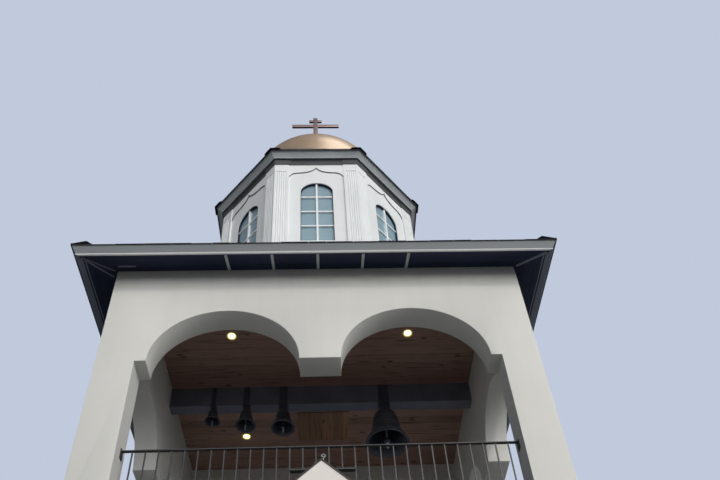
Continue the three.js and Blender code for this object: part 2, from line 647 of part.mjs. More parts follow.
// The boards under the eave, with the lookouts and hip strips that they carry
function soffit() {
  const boards = underPlanes(SOFFIT_AT_WALL + SOFFIT_BOARD, ROOF_REACH).intersect(flared(FASCIA_BACK - FIT))
    .subtract(underPlanes(SOFFIT_AT_WALL, ROOF_REACH + BEYOND))
    .subtract(overWalls(LANTERN_TOP));
  const pieces = [boards];
  const sides = [[0, TOWER_HALF_DEPTH], [90, TOWER_HALF_WIDTH], [180, TOWER_HALF_DEPTH],
    [270, TOWER_HALF_WIDTH]];
  for (const [turn, reach] of sides) {
    for (let i = 0; i < LOOKOUT.count; i += 1) {
      const along = (i - (LOOKOUT.count - 1) / 2) * LOOKOUT.spacing;
      pieces.push(lookout(reach).translate([along, 0, 0]).rotate([0, 0, turn]));
    }
  }
  for (const sx of [-1, 1]) for (const sy of [-1, 1]) pieces.push(hipStrip(sx, sy));
  put('eave_soffit', joined(pieces), paint(COLOURS.darkSteel, 0.8));
}

// Lantern

function octagonPrism(apothem, z0, z1) {
  const radius = apothem / Math.cos(Math.PI / SIDES);
  return turned([[0, z0], [radius, z0], [radius, z1], [0, z1]], SIDES, Math.PI / SIDES);
}

function aroundLantern(shape) {
  const copies = [];
  for (let i = 0; i < SIDES; i += 1) copies.push(shape.rotate([0, 0, (360 / SIDES) * i]));
  return joined(copies);
}

function lanternWalls() {
  const bottom = WALL_TOP + CEILING_THICKNESS;
  const inner = LANTERN_APOTHEM - LANTERN_WALL;
  const tube = octagonPrism(LANTERN_APOTHEM, bottom, LANTERN_TOP)
    .subtract(octagonPrism(inner, 0, LANTERN_TOP + 1));
  const hole = archOutline(WINDOW.half, WINDOW.sill, WINDOW.spring);
  const opening = wallAlongX(hole, -LANTERN_APOTHEM - 1, -inner + 100, SMALL_ARCH_STEPS);
  put('lantern_walls', tube.subtract(aroundLantern(opening)), paint(COLOURS.lantern, 0.6));
}

// A board folded round the lantern corner at the right of the front face
function cornerBoard(width, projection, z0, z1) {
  const tan = Math.tan(Math.PI / SIDES);
  const near = LANTERN_APOTHEM + 2 * FIT;
  const far = near + projection;
  const half = new THREE.Vector2(near * tan, -near);
  const tip = new THREE.Vector2(far * tan, -far);
  const start = half.x - width;
  const right = [[start, -near], [half.x, -near], [tip.x, -far], [start, -far]];
  const fold = (points) => points.map(([x, y]) => {
    const axis = -Math.PI / 2 + Math.PI / SIDES;
    const angle = 2 * axis - Math.atan2(y, x);
    const length = Math.hypot(x, y);
    return [length * Math.cos(angle), length * Math.sin(angle)];
  });
  const left = fold(right);
  const points = [right[0], right[1], left[0], left[3], right[2], right[3]];
  return prism(outline(points), z0, z1);
}

// Boards over each window, cut to a low pointed ogee between the pilasters
function ogeeBoard() {
  const half = LANTERN_APOTHEM * Math.tan(Math.PI / SIDES) - PILASTER_WIDTH;
  const shape = new THREE.Shape();
  shape.moveTo(-half - 3, OGEE.shoulder);
  shape.lineTo(-half, OGEE.shoulder);
  shape.quadraticCurveTo(-half, OGEE.flat, -half * 0.62, OGEE.flat);
  shape.quadraticCurveTo(-half * 0.12, OGEE.flat + 14, 0, OGEE.peak);
  shape.quadraticCurveTo(half * 0.12, OGEE.flat + 14, half * 0.62, OGEE.flat);
  shape.quadraticCurveTo(half, OGEE.flat, half, OGEE.shoulder);
  shape.lineTo(half + 3, OGEE.shoulder);
  shape.lineTo(half + 3, FRIEZE_BOTTOM + 5);
  shape.lineTo(-half - 3, FRIEZE_BOTTOM + 5);
  const back = -LANTERN_APOTHEM - 3 * FIT;
  return wallAlongX(shape, back - OGEE.projection, back, SMALL_ARCH_STEPS);
}

// The trim on the lantern walls: corner pilasters, ogee boards, capital blocks and frieze
function lanternTrim() {
  const near = LANTERN_APOTHEM + FIT;
  const far = near + FRIEZE_PROJECTION;
  const band = octagonRing([[near, FRIEZE_BOTTOM], [far, FRIEZE_BOTTOM], [far, LANTERN_TOP],
    [near, LANTERN_TOP]]);
  const block = cornerBoard(CAPITAL_WIDTH, CAPITAL_PROJECTION, FRIEZE_BOTTOM, LANTERN_TOP);
  const board = cornerBoard(PILASTER_WIDTH, PILASTER_PROJECTION, WALL_TOP, FRIEZE_BOTTOM + 5);
  const pieces = aroundLantern(joined([block, board, ogeeBoard()]));
  put('lantern_trim', band.add(pieces).subtract(underShingles(2 * FIT)), paint(COLOURS.lantern, 0.6));
}

// The eight windows, carried by the lining on the inside of the walls
function lanternWindows() {
  const front = -LANTERN_APOTHEM + WINDOW.setback;
  const inner = LANTERN_APOTHEM - LANTERN_WALL - FIT;
  const back = inner - WINDOW_LINING;
  const low = WALL_TOP + CEILING_THICKNESS;
  const lining = octagonRing([[back, low], [inner, low], [inner, LANTERN_TOP], [back, LANTERN_TOP]]);
  const hole = archOutline(WINDOW.half - WINDOW.frameWidth, WINDOW.sill + WINDOW.frameWidth, WINDOW.spring);
  const openings = aroundLantern(wallAlongX(hole, -inner - 1, -back + 40, SMALL_ARCH_STEPS));
  const frame = glazedFrame(WINDOW, LANTERN_WALL - WINDOW.setback + WINDOW_LINING);
  const frames = aroundLantern(frame.translate([0, front, 0]));
  put('lantern_windows', lining.subtract(openings).add(frames), paint(COLOURS.glass, 0.1));
}

function lanternEave() {
  const inner = LANTERN_APOTHEM - LANTERN_WALL;
  const tip = CORNICE.foot + CORNICE.face;
  const tipHeight = CORNICE.footHeight + CORNICE.face;
  const back = tip - CORNICE.back;
  const backHeight = tipHeight + CORNICE.back;
  const cornice = octagonRing([[inner, LANTERN_TOP], [CORNICE.seat, LANTERN_TOP],
    [CORNICE.foot, CORNICE.footHeight], [tip, tipHeight], [back, backHeight], [inner, backHeight]]);
  put('lantern_cornice', cornice, paint(COLOURS.fascia, 0.7));
  const underside = (apothem) => tipHeight + tip - apothem + 2 * FIT;
  const low = underside(LANTERN_ROOF.edge);
  const edge = low + LANTERN_ROOF.thickness;
  const rise = edge + LANTERN_ROOF.edge - LANTERN_ROOF.topApothem;
  const rim = rise - LANTERN_ROOF.rim;
  const roof = octagonRing([[LANTERN_ROOF.edge, low], [LANTERN_ROOF.edge, edge],
    [LANTERN_ROOF.topApothem, rise], [LANTERN_ROOF.inner, rise], [LANTERN_ROOF.inner, rim],
    [LANTERN_ROOF.edge - (rim - low), rim]]);
  put('lantern_roof', roof, paint(COLOURS.shingle, 0.95));
  return rise;
}

function dome(base) {
  const arc = (radius, steps) => {
    const points = [];
    const last = Math.acos(DOME_FLAT / radius);
    for (let i = 0; i <= steps; i += 1) {
      const angle = (last * i) / steps;
      points.push([radius * Math.cos(angle), DOME_CENTRE + radius * Math.sin(angle)]);
    }
    return points;
  };
  const outside = arc(DOME_RADIUS, DOME_STEPS.outside);
  const inside = arc(DOME_RADIUS - DOME_THICKNESS, DOME_STEPS.inside).reverse();
  const innerTop = inside[0][1];
  const outerTop = outside[outside.length - 1][1];
  const profile = [[0, innerTop], ...inside, [DOME_RADIUS - DOME_THICKNESS, base], [DOME_RADIUS, base],
    ...outside, [0, outerTop]];
  put('dome', turned(profile, DOME_SEGMENTS), paint(COLOURS.copper, 0.35, 0.9));
  return outerTop;
}

// A ball on a short neck, which carries the cross
function ball(base) {
  const points = [[0, base], [DOME_FLAT - 4, base], [BALL.neck + 12, base + 26], [BALL.neck, base + 48]];
  const first = -Math.acos(BALL.neck / BALL.radius);
  const last = Math.acos(BALL.seat / BALL.radius);
  const steps = 7;
  for (let i = 0; i <= steps; i += 1) {
    const angle = first + ((last - first) * i) / steps;
    points.push([BALL.radius * Math.cos(angle), BALL.centre + BALL.radius * Math.sin(angle)]);
  }
  points.push([0, points[points.length - 1][1]]);
  return turned(points, 20);
}

function cross(base) {
  const half = CROSS.post / 2;
  const deep = CROSS.depth / 2;
  const bar = (reach, z, height) => box(-reach, reach, -deep, deep, z - height / 2, z + height / 2);
  const fall = CROSS.footHalf * CROSS.footSlope;
  const high = CROSS.footZ + fall;
  const low = CROSS.footZ - fall;
  const foot = outline([[-CROSS.footHalf, high - CROSS.bar / 2], [CROSS.footHalf, low - CROSS.bar / 2],
    [CROSS.footHalf, low + CROSS.bar / 2], [-CROSS.footHalf, high + CROSS.bar / 2]]);
  const pieces = [ball(base), box(-half, half, -deep, deep, BALL.centre, CROSS.top),
    bar(CROSS.mainHalf, CROSS.mainZ, CROSS.bar), bar(CROSS.smallHalf, CROSS.smallZ, CROSS.smallBar),
    wallAlongX(foot, -deep, deep)];
  put('cross', joined(pieces), paint(COLOURS.gold, 0.3, 0.9));
}

groundFloor();
groundWalls();
groundWindows();
entranceDoors();
porchFloor();
porchWalls();
porchRoof();
porchRing();
belfryFloor();
belfryWalls();
railings();
ceiling();
bellBeam();
bells();
mainRoof();
fascia();
soffit();
lanternWalls();
lanternTrim();
lanternWindows();
cross(dome(lanternEave()));

export default tower;
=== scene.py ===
# %% [markdown]
# A church bell tower, seen from the ground in front of it. The frame below holds the measured solids of the
# tower, and this lesson dresses them: it gives each piece its real edges, boards, shingles and finishes.
# Everything is in metres, with Z up, the front of the tower towards -Y, and the ground at zero.

# %% Load the frame
import math
import random

import bmesh
import bpy
from mathutils import Matrix, Vector


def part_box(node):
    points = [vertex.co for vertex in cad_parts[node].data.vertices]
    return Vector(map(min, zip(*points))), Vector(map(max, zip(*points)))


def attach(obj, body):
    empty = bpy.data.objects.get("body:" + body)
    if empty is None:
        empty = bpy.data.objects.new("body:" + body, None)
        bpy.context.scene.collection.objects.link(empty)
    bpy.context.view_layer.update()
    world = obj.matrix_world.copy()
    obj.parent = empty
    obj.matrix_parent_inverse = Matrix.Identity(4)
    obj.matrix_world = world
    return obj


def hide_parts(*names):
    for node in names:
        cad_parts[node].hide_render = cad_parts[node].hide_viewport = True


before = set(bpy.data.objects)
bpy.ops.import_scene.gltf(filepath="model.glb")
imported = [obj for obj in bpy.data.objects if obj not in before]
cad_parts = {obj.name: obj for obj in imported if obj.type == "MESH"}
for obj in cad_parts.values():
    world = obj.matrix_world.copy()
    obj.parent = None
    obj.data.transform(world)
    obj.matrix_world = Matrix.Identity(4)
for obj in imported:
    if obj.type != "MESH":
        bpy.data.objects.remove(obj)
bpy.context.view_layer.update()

BODY = "tower"
scene = bpy.context.scene


def link(name, data):
    thing = bpy.data.objects.new(name, data)
    scene.collection.objects.link(thing)
    return thing


# %% [markdown]
# The camera stands at a person's eye height close to the porch and looks up. The picture is the upper half
# of an upright photograph, so its optical axis meets the bottom edge of the frame. A vertical lens shift of
# a third of the width gives that framing. Tilting the camera further up instead would squeeze the lantern.

# %% Camera
CAMERA_PLACE = (0.027, -6.551, 1.6)
YAW, PITCH, ROLL = (math.radians(v) for v in (3.3575, 38.7213, -3.5965))
LENS, SENSOR, SHIFT = 36.92, 36.0, 1 / 3

forward = Vector((math.sin(YAW) * math.cos(PITCH), math.cos(YAW) * math.cos(PITCH), math.sin(PITCH)))
level = Vector((math.cos(YAW), -math.sin(YAW), 0))
above = level.cross(forward)
right = level * math.cos(ROLL) + above * math.sin(ROLL)
up = above * math.cos(ROLL) - level * math.sin(ROLL)
camera_data = bpy.data.cameras.new("camera")
camera_data.lens, camera_data.sensor_width, camera_data.shift_y = LENS, SENSOR, SHIFT
camera = link("camera", camera_data)
camera.matrix_world = Matrix.Translation(CAMERA_PLACE) @ Matrix((right, up, -forward)).transposed().to_4x4()
scene.camera = camera
print("camera looks up", round(math.degrees(PITCH), 1), "degrees")

# %% [markdown]
# The sky and all finishes are built from shader nodes. One function feeds a node its inputs, each a number,
# a colour or what another node gives out. The others are short names for the kinds of node used most.

# %% Node helpers


def feed(tree, node, inputs):
    for label, value in inputs.items():
        if isinstance(value, bpy.types.NodeSocket):
            tree.links.new(value, node.inputs[label])
        else:
            node.inputs[label].default_value = value
    return node.outputs


def add_node(tree, kind, inputs=None, operation=None):
    node = tree.nodes.new("ShaderNode" + kind)
    if operation:
        node.operation = operation
    return feed(tree, node, inputs or {})


def maths(tree, operation, a, b=0.5):
    return add_node(tree, "Math", {0: a, 1: b}, operation)[0]


def noise(tree, vector, scale, detail, roughness=0.55):
    return add_node(tree, "TexNoise", {"Vector": vector, "Scale": scale, "Detail": detail,
                                       "Roughness": roughness})["Fac"]


def stretched(tree, vector, factors):
    return add_node(tree, "VectorMath", {0: vector, 1: factors}, "MULTIPLY")[0]


def contrast(tree, value, low, high):
    return add_node(tree, "MapRange", {"Value": value, "From Min": low, "From Max": high})["Result"]


def mixed(tree, factor, low, high):
    node = tree.nodes.new("ShaderNodeMix")
    node.data_type = "RGBA"
    low, high = ((*c, 1) if isinstance(c, tuple) else c for c in (low, high))
    return feed(tree, node, {"Factor": factor, "A": low, "B": high})["Result"]


def shade(colour, factor):
    return tuple(min(1.0, c * factor) for c in colour)


print("node helpers ready")

# %% [markdown]
# The light is a hazy bright day. The haze glows in front of the tower, a little to the right, and a weak
# low sun stands in it. The line of shade that the eave throws on the wall gives the sun's height. The sky
# that shows behind the tower is an even pale blue, so rays from the camera meet that colour alone.

# %% Light, sky and floor
SKY = (0.53, 0.59, 0.715)
SKY_FILL, HAZE, HAZE_COLOUR, HAZE_FOCUS = 0.2, 2.95, (1.0, 0.985, 0.955), 3.2
HAZE_AZIMUTH, HAZE_ELEVATION = math.radians(31), 0.0
SUN_STRENGTH, SUN_SIZE, SUN_COLOUR = 0.46, 1.2, (1.0, 0.955, 0.9)
SUN_AZIMUTH, EAVE_REACH, SHADE_DROP = math.radians(16), 0.317, 0.17
SUN_ELEVATION = math.atan(SHADE_DROP / EAVE_REACH * math.cos(SUN_AZIMUTH))
FLOOR_HALF, FLOOR_DROP = 60, 0.002


def toward(azimuth, elevation):
    """A direction, with the azimuth counted from the front of the tower to its right."""
    return Vector((math.sin(azimuth) * math.cos(elevation), -math.cos(azimuth) * math.cos(elevation),
                   math.sin(elevation)))


def far_light(name, strength, size, colour, azimuth, elevation):
    """A light far away, with the size in degrees that it has in the sky."""
    data = bpy.data.lights.new(name, "SUN")
    data.energy, data.angle, data.color = strength, math.radians(size), colour
    light = link(name, data)
    light.rotation_euler = toward(azimuth, elevation).to_track_quat("Z", "Y").to_euler()
    return light


scene.view_settings.view_transform = "Standard"
world = bpy.data.worlds.new("hazy sky")
scene.world = world
world.use_nodes = True
air = world.node_tree
facing = add_node(air, "VectorMath", {0: add_node(air, "TexCoord")["Generated"],
                                      1: toward(HAZE_AZIMUTH, HAZE_ELEVATION)}, "DOT_PRODUCT")["Value"]
focus = maths(air, "POWER", add_node(air, "Clamp", {"Value": facing})[0], HAZE_FOCUS)
open_sky = tuple(c * SKY_FILL for c in SKY)
glow = mixed(air, focus, open_sky, tuple(c + h * HAZE for c, h in zip(open_sky, HAZE_COLOUR)))
seen = mixed(air, add_node(air, "LightPath")["Is Camera Ray"], glow, SKY)
feed(air, air.nodes["Background"], {"Color": seen})
far_light("sun", SUN_STRENGTH, SUN_SIZE, SUN_COLOUR, SUN_AZIMUTH, SUN_ELEVATION)

floor_mesh = bpy.data.meshes.new("floor")
floor_mesh.from_pydata([(x * FLOOR_HALF, y * FLOOR_HALF, 0) for x, y in ((-1, -1), (1, -1), (1, 1), (-1, 1))],
                       [], [(0, 1, 2, 3)])
floor = link("floor", floor_mesh)
floor.location.z = -FLOOR_DROP
print("sun stands", round(math.degrees(SUN_ELEVATION), 1), "degrees high")

# %% [markdown]
# Paint, stucco, steel and shingles all vary a little over their surface. One shader node group gives every
# finish that: broad patches, fine grain and vertical rain streaks, each as a value from 0 to 1. A group is
# better than a copy in each material, because a change to it reaches them all.

# %% Shader group: surface variation


def group_tree(name, inputs, outputs):
    """A group with a vector input, number inputs with the values they start at, and number outputs."""
    tree = bpy.data.node_groups.new(name, "ShaderNodeTree")
    tree.interface.new_socket(name="Vector", in_out="INPUT", socket_type="NodeSocketVector")
    for label, value in inputs.items():
        socket = tree.interface.new_socket(name=label, in_out="INPUT", socket_type="NodeSocketFloat")
        socket.default_value = value
    for label in outputs:
        tree.interface.new_socket(name=label, in_out="OUTPUT", socket_type="NodeSocketFloat")
    return tree, tree.nodes.new("NodeGroupInput").outputs, tree.nodes.new("NodeGroupOutput")


def add_group(tree, group, inputs):
    node = tree.nodes.new("ShaderNodeGroup")
    node.node_tree = group
    return feed(tree, node, inputs)


variation, given, result = group_tree("surface variation", {"Patch Scale": 1.5, "Grain Scale": 250.0},
                                      ("Patches", "Grain", "Streaks"))
patches = noise(variation, given["Vector"], given["Patch Scale"], 4)
grain = noise(variation, given["Vector"], given["Grain Scale"], 3, 0.65)
streaks = noise(variation, stretched(variation, given["Vector"], (9, 9, 0.7)), 1.0, 4)
feed(variation, result, {"Patches": contrast(variation, patches, 0.3, 0.7),
                         "Grain": contrast(variation, grain, 0.25, 0.75),
                         "Streaks": contrast(variation, streaks, 0.45, 0.75)})
print("group:", variation.name)

# %% [markdown]
# Knotty pine has growth lines along the board, a darker tone in some boards, and round knots whose rings
# push the lines aside. The group works along one axis and is turned for boards that run the other way. Each
# board is shifted along the pattern by its own number, so that no two neighbours show the same lines.

# %% Shader group: knotty timber
BOARD_SHIFT, GRAIN_STRETCH, KNOT_STRETCH = 7.3, (1.6, 26, 1), (3.0, 7.5, 1)

timber, given, result = group_tree("knotty timber", {"Board Width": 0.14}, ("Lines", "Knots", "Board Tone"))
split = add_node(timber, "SeparateXYZ", {0: given["Vector"]})
board_number = maths(timber, "FLOOR", maths(timber, "DIVIDE", split["Y"], given["Board Width"]))
shifted = maths(timber, "ADD", split["X"], maths(timber, "MULTIPLY", board_number, BOARD_SHIFT))
on_board = add_node(timber, "CombineXYZ", {"X": shifted, "Y": split["Y"], "Z": board_number})[0]
along_grain = stretched(timber, on_board, GRAIN_STRETCH)
warp = noise(timber, along_grain, 1.4, 3)
wave = timber.nodes.new("ShaderNodeTexWave")
wave.wave_type, wave.bands_direction = "BANDS", "Y"
rings = feed(timber, wave, {"Vector": along_grain, "Scale": 0.55, "Distortion": 9.0, "Detail": 3.0,
                            "Detail Scale": 1.2})["Fac"]
cells = add_node(timber, "TexVoronoi", {"Vector": stretched(timber, on_board, KNOT_STRETCH), "Scale": 1.0})
knots = contrast(timber, cells["Distance"], 0.16, 0.07)
dark_streaks = maths(timber, "MULTIPLY", contrast(timber, warp, 0.57, 0.7), 0.75)
tone = timber.nodes.new("ShaderNodeTexWhiteNoise")
tone.noise_dimensions = "1D"
feed(timber, result, {"Lines": maths(timber, "MULTIPLY", maths(timber, "ADD", rings, warp), 0.5),
                      "Knots": maths(timber, "MAXIMUM", knots, dark_streaks),
                      "Board Tone": feed(timber, tone, {"W": board_number})["Value"]})
print("group:", timber.name)

# %% [markdown]
# Every finish starts the same way: a Principled shader, the tower's own coordinates in metres and the
# variation group. Patches shift the tint and the gloss, grain darkens and raises the surface, and rain
# leaves faint streaks. A finish that has more to it adds that to what this function gives back.

# %% The finish builder
GRAIN_SHADE, STREAK_SHADE, BUMP_STRENGTH = 0.45, 0.72, 0.6


def finish_of(name, colour, rough=(0.6, 0.8), patch=(0.93, 1.05), patch_scale=1.5, grain_scale=250.0,
              grain_depth=0.0006, grain_tone=0.0, streak_tone=0.0, metallic=0.0):
    material = bpy.data.materials.new(name)
    material.use_nodes = True
    tree = material.node_tree
    place = add_node(tree, "TexCoord")["Object"]
    vary = add_group(tree, variation, {"Vector": place, "Patch Scale": patch_scale,
                                       "Grain Scale": grain_scale})
    tint = mixed(tree, vary["Patches"], shade(colour, patch[0]), shade(colour, patch[1]))
    for mask, amount, dark in (("Grain", grain_tone, GRAIN_SHADE), ("Streaks", streak_tone, STREAK_SHADE)):
        if amount:
            tint = mixed(tree, maths(tree, "MULTIPLY", vary[mask], amount), tint, shade(colour, dark))
    gloss = add_node(tree, "MapRange", {"Value": vary["Patches"], "To Min": rough[0], "To Max": rough[1]})
    bump = tree.nodes.new("ShaderNodeBump")
    feed(tree, bump, {"Strength": BUMP_STRENGTH, "Distance": grain_depth, "Height": vary["Grain"]})
    shader = tree.nodes["Principled BSDF"]
    feed(tree, shader, {"Base Color": tint, "Roughness": gloss["Result"], "Metallic": metallic,
                        "Normal": bump.outputs["Normal"]})
    return {"material": material, "tree": tree, "shader": shader, "place": place, "tint": tint, "bump": bump}


# %% [markdown]
# The plain finishes need nothing more. Stucco has a sand-float grain and faint streaks, painted timber is
# smooth with a slight sheen, steel is dark with small scuffs, and shingles carry coarse mineral grains. The
# numbers after a colour follow the builder: the roughness and the tone of the patches from and to, the
# scales of patches and grain, the depth of the grain, its tone, that of the streaks, and the metal.

# %% Plain finishes
SANDED = (0.82, 0.95), (0.965, 1.03), 0.9, 420, 0.0009, 0.06, 0.10
PAINTED = (0.45, 0.62), (0.92, 1.08), 2.0, 500, 0.0003, 0.05

STUCCO = finish_of("sand-float stucco", (0.715, 0.715, 0.685), *SANDED)
GABLE = finish_of("cream stucco", (0.84, 0.80, 0.765), *SANDED)
CONCRETE = finish_of("trowelled concrete", (0.2, 0.2, 0.19), (0.7, 0.9), (0.88, 1.08), 1.2, 160, 0.0008, 0.12)
WHITE = finish_of("white painted boards", (0.82, 0.85, 0.86), (0.42, 0.6), (0.96, 1.03), 1.8, 500, 0.0003,
                  0.03, 0.12)
GREY = finish_of("grey cornice boards", (0.45, 0.485, 0.51), *PAINTED, 0.15)
FASCIA_GREY = finish_of("grey fascia boards", (0.215, 0.236, 0.248), (0.45, 0.62), (0.94, 1.06), 2.0, 500,
                        0.0003, 0.05, 0.1)
# Painted shade: a near-black for the lantern's frieze, capitals and the undersides of its boards.
PAINTED_SHADE_GREY = finish_of("frieze boards in painted shade", (0.068, 0.074, 0.079), *PAINTED)
PALE_GREY = finish_of("pale grey strips", (0.45, 0.475, 0.49), *PAINTED)
# Painted shade: the side fascias and the hip and side soffit strips are darker than the front ones.
PAINTED_SHADE_SLATE = finish_of("slate side boards in painted shade", (0.15, 0.17, 0.22), (0.5, 0.7), (0.9, 1.1), 2.0, 500, 0.0003, 0.05)
WINDOW_WHITE = finish_of("white window paint", (0.93, 0.95, 0.96), (0.35, 0.5), (0.98, 1.02), 2.0, 500,
                         0.0002)
EDGE_METAL = finish_of("brown edge metal", (0.045, 0.039, 0.034), (0.5, 0.7), (0.8, 1.2), 3.0, 400, 0.0002)
# Also painted shade on the frames of the lantern windows.
NAVY_AND_PAINTED_SHADE = finish_of("navy soffit boards and painted shade", (0.014, 0.021, 0.054), (0.5, 0.7), (0.8, 1.25), 2.4, 400, 0.0003, 0.1)
STEEL = finish_of("dark painted steel", (0.17, 0.178, 0.24), (0.4, 0.6), (0.8, 1.25), 3.0, 300, 0.0004,
                  0.1, 0.1, 0.2)
IRON = finish_of("dark railing paint", (0.047, 0.047, 0.052), (0.28, 0.4), (0.8, 1.3), 6.0, 350, 0.0003, 0.1)
BRONZE = finish_of("dark bell bronze", (0.1, 0.11, 0.145), (0.4, 0.6), (0.75, 1.3), 5.0, 200, 0.0006,
                   0.25, 0.1, 0.5)
FORGED = finish_of("bright forged iron", (0.62, 0.64, 0.66), (0.35, 0.5), (0.8, 1.15), 9.0, 200, 0.0003,
                   0.1, 0.0, 0.3)
SHINGLE = finish_of("charcoal shingles", (0.062, 0.064, 0.07), (0.85, 0.97), (0.6, 1.5), 7.0, 900, 0.002,
                    0.35)
# Also painted shade on the undersides of the cross bars.
BLACK_CAPS_AND_PAINTED_SHADE = finish_of("black hip caps and painted shade", (0.009, 0.01, 0.014), (0.8, 0.95), (0.7, 1.4), 6.0, 900, 0.002, 0.3)
# The glass's blue-grey is painted reflection of the sky, with some real reflection from its metal.
GLASS = finish_of("glass with painted sky reflection", (0.35, 0.5, 0.58), (0.05, 0.09), (0.9, 1.1), 1.1, 60, 0.0001,
                  metallic=0.3)
DOOR = finish_of("varnished oak", (0.22, 0.10, 0.045), (0.3, 0.45), (0.75, 1.2), 3.0, 300, 0.0005, 0.2)
PALE_FLOOR = finish_of("pale floor", (0.86, 0.86, 0.84), (0.85, 0.95), (0.99, 1.01), 0.2, 30, 0.0001)
for made, specular in ((BLACK_CAPS_AND_PAINTED_SHADE, 0.0), (SHINGLE, 0.1), (NAVY_AND_PAINTED_SHADE, 0.3)):
    made["shader"].inputs["Specular IOR Level"].default_value = specular
print("finishes:", len(bpy.data.materials))

# %% [markdown]
# The floor is pale where it is seen. The light that it throws back up would fill the belfry far more than
# open ground does, so rays that leave a surface to gather light meet a darker floor.

# %% Floor finish
GATHERED_FLOOR = (0.4, 0.4, 0.39)
tree = PALE_FLOOR["tree"]
seen = mixed(tree, add_node(tree, "LightPath")["Is Camera Ray"], GATHERED_FLOOR, PALE_FLOOR["tint"])
feed(tree, PALE_FLOOR["shader"], {"Base Color": seen})
floor.data.materials.append(PALE_FLOOR["material"])

# %% [markdown]
# The ceiling boards are stained a dark red-brown. Growth lines darken and raise the surface a little, knots
# are almost black, and each board has its own tone, so the ceiling reads as separate boards.

# %% Ceiling timber
BOARD = 0.137


def timber_finish(name, colour, turned):
    made = finish_of(name, colour, (0.4, 0.55), (0.85, 1.15), 1.6, 420, 0.0003, 0.1)
    tree = made["tree"]
    turn = math.pi / 2 if turned else 0
    along = add_node(tree, "Mapping", {"Vector": made["place"], "Rotation": (0, 0, turn)})
    wood = add_group(tree, timber, {"Vector": along[0], "Board Width": BOARD})
    toned = mixed(tree, wood["Board Tone"], shade(colour, 0.62), shade(colour, 1.4))
    tint = mixed(tree, 0.35, toned, made["tint"])
    for mask, amount, dark in (("Lines", 0.65, 0.4), ("Knots", 0.9, 0.12)):
        tint = mixed(tree, maths(tree, "MULTIPLY", wood[mask], amount), tint, shade(colour, dark))
    feed(tree, made["shader"], {"Base Color": tint})
    feed(tree, made["bump"], {"Height": wood["Lines"]})
    return made


CEILING = timber_finish("stained knotty boards", (0.46, 0.275, 0.22), False)
HATCH_WOOD = timber_finish("hatch boards", (0.44, 0.25, 0.15), True)

# %% [markdown]
# The dome is brushed copper-gold sheet, laid in narrow gores from the rim to the crown. The seams are
# worked out from the angle round the dome: a gore's own turn runs from 0 to 1, and its seam is where that
# wraps.

# %% Copper-gold sheet
COPPER_GOLD, SHEET_METAL, GORES, SEAM_WIDTH, SEAM_TONE = (0.57, 0.42, 0.29), 0.5, 24, 0.018, 0.18

COPPER = finish_of("copper-gold dome sheet", COPPER_GOLD, (0.29, 0.33), (0.82, 1.1), 2.2, 260, 0.0003,
                   0.08, 0.06, SHEET_METAL)
tree = COPPER["tree"]
split = add_node(tree, "SeparateXYZ", {0: COPPER["place"]})
angle = maths(tree, "ARCTAN2", split["Y"], split["X"])
in_gore = maths(tree, "FRACT", maths(tree, "MULTIPLY", angle, GORES / (2 * math.pi)))
off_middle = maths(tree, "ABSOLUTE", maths(tree, "SUBTRACT", in_gore, 0.5))
seam = contrast(tree, off_middle, 0.5 - SEAM_WIDTH * 2, 0.5 - SEAM_WIDTH)
seamed = mixed(tree, maths(tree, "MULTIPLY", seam, SEAM_TONE), COPPER["tint"], shade(COPPER_GOLD, 0.6))
feed(tree, COPPER["shader"], {"Base Color": seamed})
GILT = finish_of("satin cross sheet", (0.42, 0.315, 0.3), (0.35, 0.5), (0.9, 1.1), 4.0, 300, 0.0002,
                 0.05, 0.0, 0.8)

# %% [markdown]
# The lamps in the ceiling are warm and bright. An emission colour on the lens is enough: the lamps are
# small, so they light little around them, as on the real ceiling. The brass rim glows faintly as well:
# painted light, for the lens lighting it.

# %% Lamp lens
LAMP = finish_of("warm lamp lens", (0.9, 0.85, 0.7), (0.2, 0.3))
# The rim glows faintly: painted light, for the lens lighting it.
BRASS_RIM_PAINTED_GLOW = finish_of("lamp rim with painted glow", (0.62, 0.52, 0.24), (0.3, 0.4), metallic=0.4)
for made, colour, strength in ((LAMP, (1.0, 0.86, 0.45, 1), 3.0), (BRASS_RIM_PAINTED_GLOW, (0.6, 0.5, 0.12, 1), 0.5)):
    made["shader"].inputs["Emission Color"].default_value = colour
    made["shader"].inputs["Emission Strength"].default_value = strength

# %% [markdown]
# Pieces are made with bmesh: an outline is filled and drawn out into a slab, a profile is turned round an
# axis, or a box is added to a joined mesh. Real edges are never knife-sharp, so a helper rounds them.

# %% Shaping helpers


def make_piece(name, bm, finishes, slot, *nodes, body=BODY, smooth=True, edge_angle=35):
    """Turns a bmesh into a piece of the scene, which takes the place of the named nodes of the frame."""
    bmesh.ops.recalc_face_normals(bm, faces=bm.faces)
    mesh = bpy.data.meshes.new(name)
    bm.to_mesh(mesh)
    bm.free()
    for made in [finishes] if isinstance(finishes, dict) else finishes:
        mesh.materials.append(made["material"])
    if smooth:
        mesh.shade_smooth()
        mesh.set_sharp_from_angle(angle=math.radians(edge_angle))
    piece = link(name, mesh)
    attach(piece, body)
    if nodes:
        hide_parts(*nodes)
    return piece


def add_box(bm, low, high):
    corners = [bm.verts.new((x, y, z)) for z in (low[2], high[2]) for y in (low[1], high[1])
               for x in (low[0], high[0])]
    for face in ((0, 2, 3, 1), (4, 5, 7, 6), (0, 1, 5, 4), (1, 3, 7, 5), (3, 2, 6, 7), (2, 0, 4, 6)):
        bm.faces.new([corners[i] for i in face])


